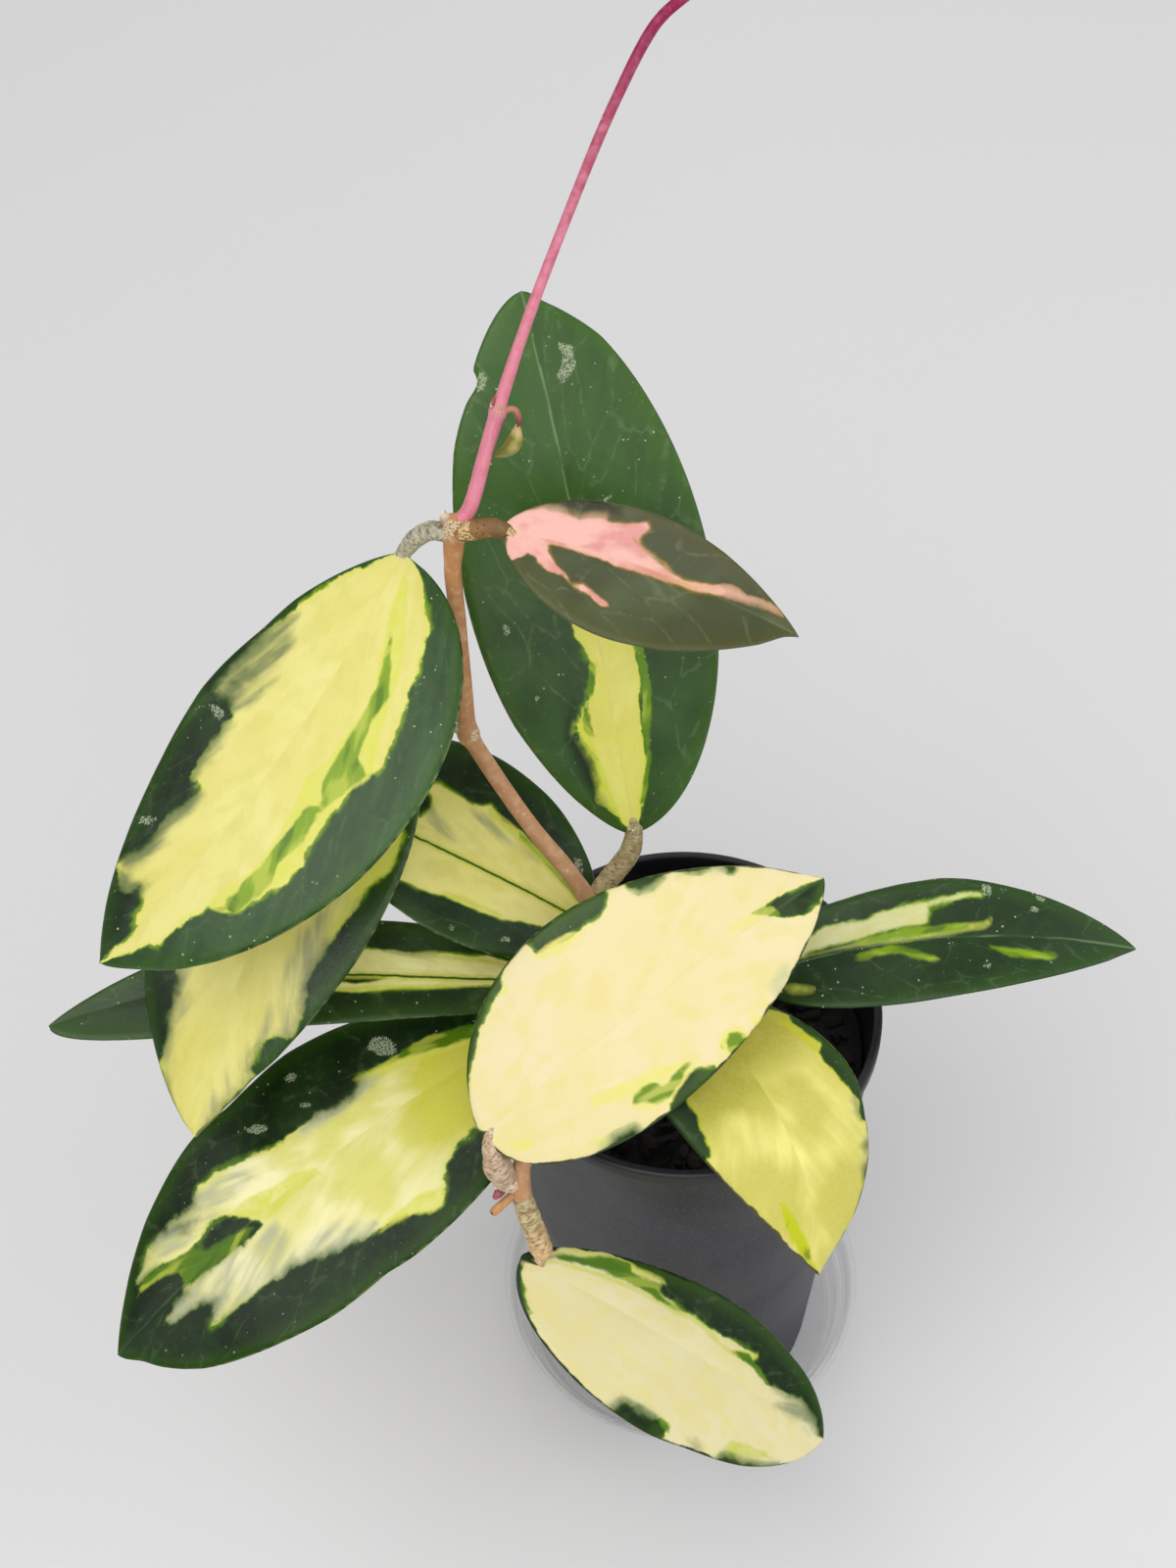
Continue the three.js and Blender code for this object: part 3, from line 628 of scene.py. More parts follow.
def travelling_frames(points: np.ndarray) -> tuple[np.ndarray, np.ndarray, np.ndarray]:
    """Gives each point of a curve its direction and two directions round it that don't twist."""
    ahead = np.gradient(points, axis=0)
    ahead /= np.linalg.norm(ahead, axis=1)[:, None]
    first = np.cross(ahead[0], (0.0, 0.0, 1.0) if abs(ahead[0][2]) < 0.9 else (1.0, 0.0, 0.0))
    sides = [first / np.linalg.norm(first)]
    for direction in ahead[1:]:
        turned = sides[-1] - direction * np.dot(sides[-1], direction)
        sides.append(turned / np.linalg.norm(turned))
    side = np.array(sides)
    return ahead, side, np.cross(ahead, side)


LIMB_LAYERS = ("run", "share", "turn_x", "turn_y", "crest", "flake")


@dataclass(frozen=True)
class Limb:
    """A round limb: a stem, shoot, petiole, twig or bud.

    ridges are how high its lengthwise bark stands, wrinkles how deep its crosswise rings are and gap how far
    apart, and flakes are the places, each with a reach, where its skin is scarred and flaky.
    """

    stations: Sequence[Station]
    sides: int = 20
    step: float = 0.7
    ridges: float = 0.0
    wrinkles: float = 0.0
    gap: float = 0.9
    seed: float = 0.0
    cap_rows: int = 4
    flakes: Sequence[Station] = ()
    flake_swell: ClassVar[float] = 0.08
    plain_crest: ClassVar[float] = 0.55

    def ring_plan(self, last: int) -> np.ndarray:
        """Gives each ring's point of the curve, how far it is pushed along it, and how full it is."""
        start = [0.5 * math.pi * (1 - k / self.cap_rows) for k in range(self.cap_rows)]
        end = [0.5 * math.pi * k / self.cap_rows for k in range(1, self.cap_rows + 1)]
        return np.array(
            [(0, -math.sin(angle), math.cos(angle)) for angle in start] + [(i, 0.0, 1.0) for i in range(last + 1)]
            + [(last, math.sin(angle), math.cos(angle)) for angle in end]
        )

    def pattern(
        self, run: np.ndarray, turn_x: np.ndarray, turn_y: np.ndarray, pace: float, wrap: float,
    ) -> np.ndarray:
        """Gives smooth noise on the skin.

        Args:
            run: how far along the limb each spot lies, in millimetres.
            turn_x: the cosine of each spot's angle round the limb.
            turn_y: the sine of it.
            pace: how fast the noise changes along the limb.
            wrap: how fast it changes round it.

        Returns:
            The noise, about -1 to 1.
        """
        return np.array([noise.noise(Vector((along * pace + self.seed, wrap * x, wrap * y)))
                         for along, x, y in zip(run, turn_x, turn_y)])

    def add_to(self, bm: bmesh.types.BMesh, material_index: int = 0) -> None:
        """Adds the limb's skin, with domed ends.

        Args:
            bm: the mesh to add it to, which already has the limb layers.
            material_index: the material of its faces.
        """
        points, radii = smooth_curve(self.stations, self.step)
        ahead, side, other = travelling_frames(points)
        run = np.concatenate([[0.0], np.cumsum(np.linalg.norm(np.diff(points, axis=0), axis=1))])
        plan = self.ring_plan(len(points) - 1)
        verts, around, along = unit_grid(bm, self.sides, len(plan) - 1)
        plan = plan[np.rint(along * (len(plan) - 1)).astype(int)]
        spot, push, full = plan[:, 0].astype(int), plan[:, 1], plan[:, 2]
        angle = 2 * math.pi * around
        turn_x, turn_y = np.cos(angle), np.sin(angle)
        wave = self.pattern(run[spot], turn_x, turn_y, 0.35, 1.3)
        bark = self.pattern(run[spot], turn_x, turn_y, 0.10, 2.4)
        broken = self.pattern(run[spot], turn_x, turn_y, 1.1, 2.6)
        crest = np.abs(np.sin(math.pi * (run[spot] / self.gap + 1.6 * wave)))
        crest = np.clip(0.75 * crest + 0.16 + 0.9 * broken, 0, 1)
        radius = radii[spot] + self.ridges * bark + self.wrinkles * (crest - 0.6)
        place = (points[spot] + ahead[spot] * (push * radii[spot])[:, None]
                 + (side[spot] * turn_x[:, None] + other[spot] * turn_y[:, None]) * (radius * full)[:, None])
        flake = np.zeros(len(place))
        for *centre, reach in self.flakes:
            flake = np.maximum(flake, 1 - np.linalg.norm(place - np.array(centre), axis=1) / reach)
        place += (place - points[spot]) * (self.flake_swell * np.clip(flake * 2, 0, 1))[:, None]
        for vert, where in zip(verts, place):
            vert.co = where * MM
        carry(bm, verts, run=run[spot] + push * radii[spot], share=run[spot] / run[-1], turn_x=turn_x, turn_y=turn_y,
              crest=crest if self.wrinkles else np.full(len(place), self.plain_crest), flake=flake)
        close_skin(bm, verts, material_index)


def turned_skin(bm: bmesh.types.BMesh, profile: Sequence[tuple[float, float]], steps: int) -> None:
    """Spins a profile of radius and height pairs, in millimetres, all the way round the upright axis."""
    verts = [bm.verts.new((radius * MM, 0.0, height * MM)) for radius, height in profile]
    edges = [bm.edges.new(pair) for pair in zip(verts, verts[1:])]
    bmesh.ops.spin(
        bm, geom=verts + edges, cent=(0, 0, 0), axis=(0, 0, 1), dvec=(0, 0, 0), angle=2 * math.pi,
        steps=steps, use_merge=True, use_duplicate=False,
    )
    bmesh.ops.remove_doubles(bm, verts=bm.verts[:], dist=WELD)
    bmesh.ops.recalc_face_normals(bm, faces=bm.faces[:])


def soften(bm: bmesh.types.BMesh, sharper_than: float, offset: float, segments: int) -> None:
    """Rounds every edge sharper than an angle in degrees by an offset in millimetres."""
    edges = [edge for edge in bm.edges if len(edge.link_faces) == 2
             and edge.calc_face_angle(0.0) > math.radians(sharper_than)]
    bmesh.ops.bevel(bm, geom=edges, offset=offset * MM, segments=segments, profile=0.5, affect="EDGES", material=-1,
                    clamp_overlap=True)


# Studio


@dataclass(frozen=True)
class SoftBox:
    """A square soft light that faces a point."""

    name: str
    place: Point
    aim: Point
    size: float
    power: float
    colour: tuple[float, float, float] = (1.0, 1.0, 1.0)

    def hang(self) -> None:
        """Adds the light to the scene."""
        light = bpy.data.lights.new(self.name, "AREA")
        light.shape = "SQUARE"
        light.size = self.size
        light.energy = self.power
        light.color = self.colour
        lamp = bpy.data.objects.new(self.name, light)
        lamp.location = self.place
        lamp.rotation_euler = (Vector(self.aim) - Vector(self.place)).to_track_quat("-Z", "Y").to_euler()
        bpy.context.scene.collection.objects.link(lamp)


@dataclass(frozen=True)
class Studio:
    """A pale floor, an even pale sky, soft boxes and the camera."""

    camera_place: Point = (-0.0225, -0.3396, 0.6492)
    right: Point = (0.99939, -0.02673, -0.02243)
    up: Point = (0.03490, 0.76557, 0.64240)
    lens: float = 54.0
    floor_reach: float = 3.0
    floor_colour: Colour = tint(226, 225, 226)
    sky: Colour = (0.97, 0.98, 1.0, 1.0)
    sky_strength: float = 0.32
    boxes: tuple[SoftBox, ...] = (
        SoftBox("key_box", (-0.70, -0.70, 1.60), (-0.02, 0.0, 0.18), 1.6, 18.5, (1.0, 0.985, 0.96)),
        SoftBox("back_box", (0.10, 1.35, 1.25), (0.0, 0.0, 0.12), 1.5, 7.0),
        SoftBox("side_box", (1.25, -0.25, 1.00), (0.0, 0.0, 0.15), 1.6, 8.0, (0.97, 0.985, 1.0)),
        SoftBox("front_box", (0.35, -1.45, 1.15), (0.0, 0.0, 0.20), 1.2, 7.0),
    )

    def place_camera(self) -> None:
        """Adds the camera where the photograph was taken from."""
        camera = bpy.data.cameras.new("camera")
        camera.lens = self.lens
        camera.sensor_width = 36.0
        camera.clip_start = 0.01
        eye = bpy.data.objects.new("camera", camera)
        right, up = Vector(self.right), Vector(self.up)
        turn = Matrix((right, up, right.cross(up))).transposed().to_4x4()
        eye.matrix_world = Matrix.Translation(self.camera_place) @ turn
        bpy.context.scene.collection.objects.link(eye)
        bpy.context.scene.camera = eye

    def spread_sky(self) -> None:
        """Lights the scene evenly from all round."""
        world = bpy.data.worlds.new("even_sky")
        world.use_nodes = True
        background = world.node_tree.nodes["Background"]
        background.inputs["Color"].default_value = self.sky
        background.inputs["Strength"].default_value = self.sky_strength
        bpy.context.scene.world = world

    def lay_floor(self) -> None:
        """Adds the pale floor as staging."""
        bm = bmesh.new()
        bmesh.ops.create_grid(bm, x_segments=2, y_segments=2, size=self.floor_reach)
        floor = link_mesh("floor", bm)
        material, w, shader = principled_material("pale_floor")
        w.feed(shader.inputs["Base Color"], self.floor_colour)
        w.feed(shader.inputs["Roughness"], 0.7)
        floor.data.materials.append(material)

    def build(self) -> None:
        """Sets up the camera, the sky, the lights and the floor."""
        self.place_camera()
        self.spread_sky()
        bpy.context.scene.view_settings.view_transform = "Standard"
        for box in self.boxes:
            box.hang()
        self.lay_floor()


# Saucer, pot and potting mix


@dataclass(frozen=True)
class Saucer:
    """A clear plastic saucer: a flat foot, a stepped sloping wall, a rolled rim and moulded rings."""

    rim_radius: float = 52.4
    foot_radius: float = 44.0
    height: float = 16.0
    wall: float = 1.2
    floor: float = 1.2
    steps: int = 160
    ring_radii: tuple[float, ...] = (9.0, 18.0, 41.5)

    def profile(self) -> list[tuple[float, float]]:
        """Gives the outline of the wall and floor from the axis, out, up and back in."""
        middle = self.height * 0.5
        step = self.foot_radius + 4.2
        outside = [
            (0.0, 0.0), (20.0, 0.0), (self.foot_radius, 0.0), (self.foot_radius + 1.8, 1.2), (step, middle),
            (step + 1.4, middle + 0.6), (self.rim_radius - 1.4, self.height - 1.6),
            (self.rim_radius, self.height - 1.2), (self.rim_radius, self.height),
        ]
        inside = [
            (self.rim_radius - 2.0, self.height), (self.rim_radius - 2.8, self.height - 1.2),
            (step + 1.4 - self.wall, middle + 1.6), (step - self.wall, middle + 1.0),
            (self.foot_radius + 1.8 - self.wall, self.floor + 1.0), (self.foot_radius - 0.4, self.floor),
        ]
        for radius in sorted(self.ring_radii, reverse=True):
            inside += [(radius + 0.7, self.floor), (radius, self.floor + 0.22), (radius - 0.7, self.floor)]
        return outside + inside + [(0.0, self.floor)]

    def finish(self) -> bpy.types.Material:
        """Builds thin clear plastic, slightly scuffed, that shows most where it is seen along its wall."""
        material, w, shader = principled_material("clear_plastic")
        scuffs = w.noise(w.object_place(), 180.0, 4.0, 0.7)
        edge = w.add("ShaderNodeLayerWeight", {"Blend": 0.35}).outputs["Facing"]
        w.feed(shader.inputs["Roughness"], w.step(scuffs, 0.45, 0.75, 0.10, 0.28))
        colour = w.mix(w.step(scuffs, 0.5, 0.7), tint(206, 208, 211), tint(226, 227, 229))
        w.feed(shader.inputs["Base Color"], colour)
        milky = w.sum((w.step(edge, 0.1, 0.9, 0.05, 0.34), 1.0), (w.step(scuffs, 0.55, 0.7), 0.04))
        w.feed(shader.inputs["Alpha"], milky)
        return material

    def build(self) -> bpy.types.Object:
        """Builds the saucer."""
        bm = bmesh.new()
        turned_skin(bm, self.profile(), self.steps)
        soften(bm, 32.0, 0.28, 3)
        return save_piece("clear_saucer", bm, [self.finish()], Slot.SAUCER, "saucer")


@dataclass(frozen=True)
class NurseryPot:
    """A tall tapered pot with a rolled lip, round drain holes in its floor and slots at its foot."""

    rim_radius: float = 50.0
    base_radius: float = 37.8
    bottom: float = 1.5
    height: float = 154.6
    wall: float = 1.2
    floor: float = 1.8
    lip: float = 1.2
    holes: int = 6
    hole_radius: float = 4.0
    hole_circle: float = 27.0
    slots: int = 8
    slot_width: float = 8.0
    slot_height: float = 3.0
    steps: int = 144

    def profile(self) -> list[tuple[float, float]]:
        """Gives the outline of the floor, wall and lip from the axis, out, up and back in."""
        bottom, top = self.bottom, self.bottom + self.height
        inner = self.rim_radius - self.lip - self.wall
        return [
            (0.0, bottom + 1), (self.base_radius - 6, bottom + 1), (self.base_radius - 5, bottom),
            (self.base_radius - 0.8, bottom), (self.base_radius, bottom + 0.8),
            (self.rim_radius - self.lip, top - 5), (self.rim_radius, top - 4), (self.rim_radius, top - 0.6),
            (self.rim_radius - 0.6, top), (inner + 0.3, top), (inner, top - 0.8), (inner, top - 5),
            (self.base_radius - self.wall, bottom + 1 + self.floor), (0.0, bottom + 1 + self.floor),
        ]

    def cutter(self) -> bpy.types.Object:
        """Makes the plugs that the holes and slots are cut with."""
        bm = bmesh.new()
        for i in range(self.holes):
            turn = Matrix.Rotation(2 * math.pi * i / self.holes, 4, "Z")
            spot = Matrix.Translation((self.hole_circle * MM, 0, (self.bottom + self.floor) * MM))
            bmesh.ops.create_cone(
                bm, cap_ends=True, segments=24, radius1=self.hole_radius * MM, radius2=self.hole_radius * MM,
                depth=4 * self.floor * MM, matrix=turn @ spot,
            )
        for i in range(self.slots):
            turn = Matrix.Rotation(2 * math.pi * (i + 0.5) / self.slots, 4, "Z")
            spot = Matrix.Translation((self.base_radius * MM, 0, self.bottom * MM))
            size = Matrix.Diagonal((4 * self.wall * MM, self.slot_width * MM, 2 * self.slot_height * MM, 1))
            bmesh.ops.create_cube(bm, size=1.0, matrix=turn @ spot @ size)
        return link_mesh("drain_plugs", bm)

    def build(self) -> bpy.types.Object:
        """Builds the pot, with its drain holes cut."""
        bm = bmesh.new()
        turned_skin(bm, self.profile(), self.steps)
        soften(bm, 32.0, 0.3, 3)
        wall = link_mesh("pot_wall", bm)
        plugs = self.cutter()
        cut = wall.modifiers.new("drain", "BOOLEAN")
        cut.operation = "DIFFERENCE"
        cut.solver = "EXACT"
        cut.object = plugs
        bpy.context.view_layer.update()
        bm = bmesh.new()
        bm.from_object(wall, bpy.context.evaluated_depsgraph_get())
        for spare in (wall, plugs):
            bpy.data.objects.remove(spare)
        finish = Finish("black_moulded_plastic", "plastic", bump=0.12, bump_reach=0.0003)
        return save_piece("nursery_pot", bm, [finish.material()], Slot.POT, "pot", crease=35.0)


@dataclass(frozen=True)
class PottingMix:
    """Bark and coir that fills the pot, with loose chips on top."""

    bottom: float = 4.6
    foot_radius: float = 36.0
    top: float = 138.1
    top_radius: float = 45.9
    rings: int = 22
    chips: int = 300
    chip_size: tuple[float, float] = (3.0, 9.0)
    lumps: tuple[tuple[float, float], ...] = ((160, 1.6), (520, 0.9))
    seed: int = 11

    def fill(self, bm: bmesh.types.BMesh) -> None:
        """Adds the body that fills the pot, with a lumpy top."""
        profile = [(0.0, self.bottom), (self.foot_radius, self.bottom), (self.top_radius, self.top - 1.5)]
        profile += [(self.top_radius * k / self.rings, self.top) for k in range(self.rings, -1, -1)]
        turned_skin(bm, profile, 72)
        tone = bm.verts.layers.float["tone"]
        for vert in bm.verts:
            if vert.co.z > (self.top - 1) * MM:
                vert.co.z += sum(noise.noise(vert.co * scale) * height for scale, height in self.lumps) * MM
            vert[tone] = 0.2

    def strew(self, bm: bmesh.types.BMesh) -> None:
        """Adds the loose chips on top, the same ones on each run."""
        tone = bm.verts.layers.float["tone"]
        draw = random.Random(self.seed)
        noise.seed_set(self.seed)
        for _ in range(self.chips):
            radius = (self.top_radius - 4) * math.sqrt(draw.random())
            angle = draw.uniform(0, 2 * math.pi)
            long = draw.uniform(*self.chip_size)
            place = (radius * math.cos(angle), radius * math.sin(angle), self.top + draw.uniform(0, 2.6))
            spot = Matrix.Translation([value * MM for value in place])
            turn = (Matrix.Rotation(draw.uniform(0, 6.3), 4, "Z") @ Matrix.Rotation(draw.gauss(0, 0.5), 4, "X")
                    @ Matrix.Rotation(draw.gauss(0, 0.5), 4, "Y"))
            wide, thick = long * draw.uniform(0.3, 0.7), long * draw.uniform(0.15, 0.4)
            size = Matrix.Diagonal((long * MM, wide * MM, thick * MM, 1))
            chip = bmesh.ops.create_icosphere(bm, subdivisions=1, radius=0.6, matrix=spot @ turn @ size)["verts"]
            shade = draw.random()
            for vert in chip:
                vert.co += noise.noise_vector(vert.co * 500) * 0.6 * MM
                vert[tone] = 0.3 + 0.7 * shade

    def build(self) -> bpy.types.Object:
        """Builds the filled body with its chips."""
        bm = bmesh.new()
        ready_layers(bm, ("tone",))
        self.fill(bm)
        self.strew(bm)
        return save_piece("bark_mix", bm, [self.finish()], Slot.MIX, "potting_mix", crease=50.0)

    def finish(self) -> bpy.types.Material:
        """Builds damp bark, darker below and lighter on some chips."""
        material, w, shader = principled_material("damp_bark")
        grain = w.noise(w.object_place(), 900.0, 3.0, 0.65)
        colour = w.mix(w.attribute("tone"), tint(5, 4, 4), tint(32, 22, 16))
        colour = w.mix(w.step(grain, 0.35, 0.65), colour, tint(3, 3, 3))
        w.feed(shader.inputs["Base Color"], colour)
        w.feed(shader.inputs["Roughness"], w.step(grain, 0.3, 0.7, 0.95, 0.7))
        w.feed(shader.inputs["Normal"], w.bump(grain, 0.6, 0.0006))
        return material


# Stems


@dataclass(frozen=True)
class Stem:
    """One of the plant's stems: its limbs and their finish."""

    name: str
    node: str
    slot: Slot
    limbs: tuple[tuple[Limb, Finish], ...]

    def build(self) -> bpy.types.Object:
        """Builds the stem as one piece."""
        bm = bmesh.new()
        ready_layers(bm, LIMB_LAYERS)
        finishes: list[Finish] = []
        for limb, finish in self.limbs:
            if finish not in finishes:
                finishes.append(finish)
            limb.add_to(bm, finishes.index(finish))
        materials = [finish.material() for finish in finishes]
        return save_piece(self.name, bm, materials, self.slot, self.node, crease=60.0)


BARK_TAN = Finish("tan_bark", "limb", {
    "Near": (190, 146, 108), "Far": (190, 134, 84), "Hollow Shade And Dark Bark": (142, 94, 62), "Speck": (226, 190, 150),
    "Ridges": 0.3, "Specks": 0.7, "Smoothness": 0.3,
}, bump=0.4)
BARK_FRONT = Finish("orange_tan_bark", "limb", {
    "Near": (186, 140, 96), "Far": (186, 138, 94), "Hollow Shade And Dark Bark": (120, 76, 48), "Speck": (212, 176, 134),
    "Ridges": 0.3, "Specks": 0.3, "Smoothness": 0.3,
}, bump=0.4)
SHOOT_SKIN = Finish("pink_shoot_skin", "limb", {
    "Near": (222, 136, 154), "Far": (138, 4, 70), "Hollow Shade And Dark Bark": (160, 60, 84), "Speck": (206, 92, 118),
    "Flake": (206, 152, 130), "Turn": 0.3, "Turned": 0.78, "Ridges": 0.35, "Specks": 0.35, "Smoothness": 0.8,
}, bump=0.2, shader={"Specular IOR Level": 0.25})
DRY_HUSK = Finish("dry_husk", "limb", {
    "Near": (150, 112, 74), "Far": (232, 220, 196), "Hollow Shade And Dark Bark": (96, 60, 40), "Speck": (236, 226, 204),
    "Ridges": 0.9, "Specks": 0.2,
}, bump=0.8)
MAROON_BUD = Finish("maroon_bud", "limb", {
    "Near": (112, 44, 50), "Far": (156, 78, 88), "Hollow Shade And Dark Bark": (78, 26, 34), "Speck": (190, 120, 122),
    "Ridges": 0.4, "Specks": 0.4, "Smoothness": 0.6,
}, bump=0.3)
ORANGE_TWIG = Finish("cut_orange_twig", "limb", {
    "Near": (190, 136, 84), "Far": (198, 142, 86), "Hollow Shade And Dark Bark": (70, 44, 34), "Speck": (220, 184, 132),
    "Flake": (56, 38, 34), "Ridges": 0.3, "Specks": 0.3, "Smoothness": 0.4,
}, bump=0.3)

VINE = Stem("vine_stem_bark", "vine_stem", Slot.BARK, (
    (Limb((
        (0.2, 3.0, 130.0, 2.6), (-1.5, -0.2, 142.9, 2.6), (-6.5, 1.6, 152.2, 2.5), (-10.6, 3.9, 168.5, 2.4),
        (-22.1, 8.2, 187.9, 2.3), (-28.2, 12.2, 197.7, 2.1), (-37.7, 18.6, 209.6, 2.0), (-48.9, 29.2, 225.0, 2.1),
        (-50.5, 30.4, 228.6, 2.6), (-50.7, 31.6, 233.6, 2.0), (-51.0, 36.6, 258.6, 1.9), (-51.3, 40.0, 274.5, 2.0),
        (-50.7, 41.1, 280.8, 2.4), (-50.3, 41.4, 284.0, 2.9), (-50.1, 41.6, 286.6, 2.4),
    ), sides=28, step=0.6, ridges=0.16, seed=1.0, flakes=(
        (-51.6, 39.6, 287.4, 4.2), (-47.6, 39.4, 285.8, 4.0), (-52.6, 29.6, 227.6, 2.6), (-48.6, 29.0, 229.4, 2.8),
    )), BARK_TAN),
    (Limb(((-51.4, 41.6, 286.6, 1.5), (-51.9, 41.7, 288.4, 1.2), (-52.2, 41.9, 290.0, 0.5)), sides=14, step=0.3,
          ridges=0.5, seed=5.0), DRY_HUSK),
))
FRONT_STEM = Stem("front_stem_bark", "front_stem", Slot.BARK, (
    (Limb((
        (-20.0, -19.1, 130.0, 2.3), (-23.7, -26.7, 157.2, 2.3), (-28.7, -32.8, 167.1, 2.3), (-36.4, -39.8, 164.7, 2.2),
        (-41.3, -46.4, 159.8, 2.2), (-42.1, -49.4, 154.9, 2.5), (-41.8, -50.7, 152.0, 2.4),
    ), sides=28, step=0.6, ridges=0.14, seed=41.0, flakes=((-44.2, -50.4, 155.6, 2.6), (-41.0, -53.0, 151.6, 1.8))),
        BARK_FRONT),
    (Limb(((-43.4, -50.5, 152.7, 1.15), (-46.2, -52.2, 151.2, 1.1), (-48.5, -53.6, 149.8, 1.15)), sides=20, step=0.3,
          ridges=0.06, seed=47.0, cap_rows=2, flakes=((-49.2, -54.0, 149.4, 1.5),)), ORANGE_TWIG),
    (Limb(((-45.6, -50.2, 154.5, 0.8), (-47.4, -51.8, 154.7, 1.15), (-48.1, -52.5, 154.4, 0.7)), sides=18, step=0.3,
          ridges=0.25, seed=49.0), MAROON_BUD),
    (Limb(((-44.6, -49.3, 155.6, 1.2), (-46.3, -49.9, 155.7, 1.2), (-47.9, -50.7, 155.9, 0.7)), sides=18, step=0.3,
          ridges=0.2, seed=53.0), DRY_HUSK),
))
NEW_SHOOT = Stem("pink_shoot", "new_shoot", Slot.SHOOT, (
    (Limb((
        (-49.4, 41.6, 286.6, 1.9), (-46.9, 42.7, 289.2, 1.75), (-42.7, 50.2, 298.8, 1.65), (-40.2, 54.3, 304.8, 1.75),
        (-39.4, 55.2, 306.8, 2.05), (-38.7, 56.5, 308.5, 1.5), (-32.2, 66.2, 322.6, 1.25), (-22.4, 79.0, 341.2, 1.15),
        (-11.9, 90.8, 360.2, 1.2), (-2.8, 98.8, 373.5, 1.25), (2.5, 101.7, 377.2, 1.25), (9.5, 103.2, 381.1, 1.25),
        (17.5, 102.4, 384.3, 1.2), (26.1, 99.7, 386.0, 1.2), (31.7, 97.0, 386.0, 1.6), (34.6, 95.4, 385.8, 0.5),
    ), sides=24, step=0.7, ridges=0.05, seed=61.0, flakes=((-39.4, 54.6, 307.8, 2.9),)), SHOOT_SKIN),
    (Limb(((-40.3, 54.8, 307.5, 0.7), (-40.5, 55.3, 309.0, 0.5), (-40.0, 56.3, 310.2, 0.2)), sides=14, step=0.25,
          ridges=0.2, seed=65.0, flakes=((-40.6, 55.0, 308.6, 0.9),)), MAROON_BUD),
))


# Leaves


@dataclass(frozen=True)
class Splash:
    """Where a leaf's tissues lie, as outlines in leaf coordinates.

    Each corner is how far along the midrib it lies, 0 at the base and 1 at the tip, and how far across,
    1 at the left margin and -1 at the right. line is where a thin green line runs, from its start to its end.
    """

    cream: Sequence[Outline] = ()
    dark: Sequence[Outline] = ()
    pale: Sequence[Outline] = ()
    lime: Sequence[Outline] = ()
    veil: Sequence[Outline] = ()
    scar: Sequence[Outline] = ()
    line: Outline = ()


BLADE_LAYERS = ("cream", "pale", "lime", "veil", "scar", "line", "along", "across", "rim", "under")
FAR_OUTSIDE = -40.0
OUTLINE_STEP = 0.04


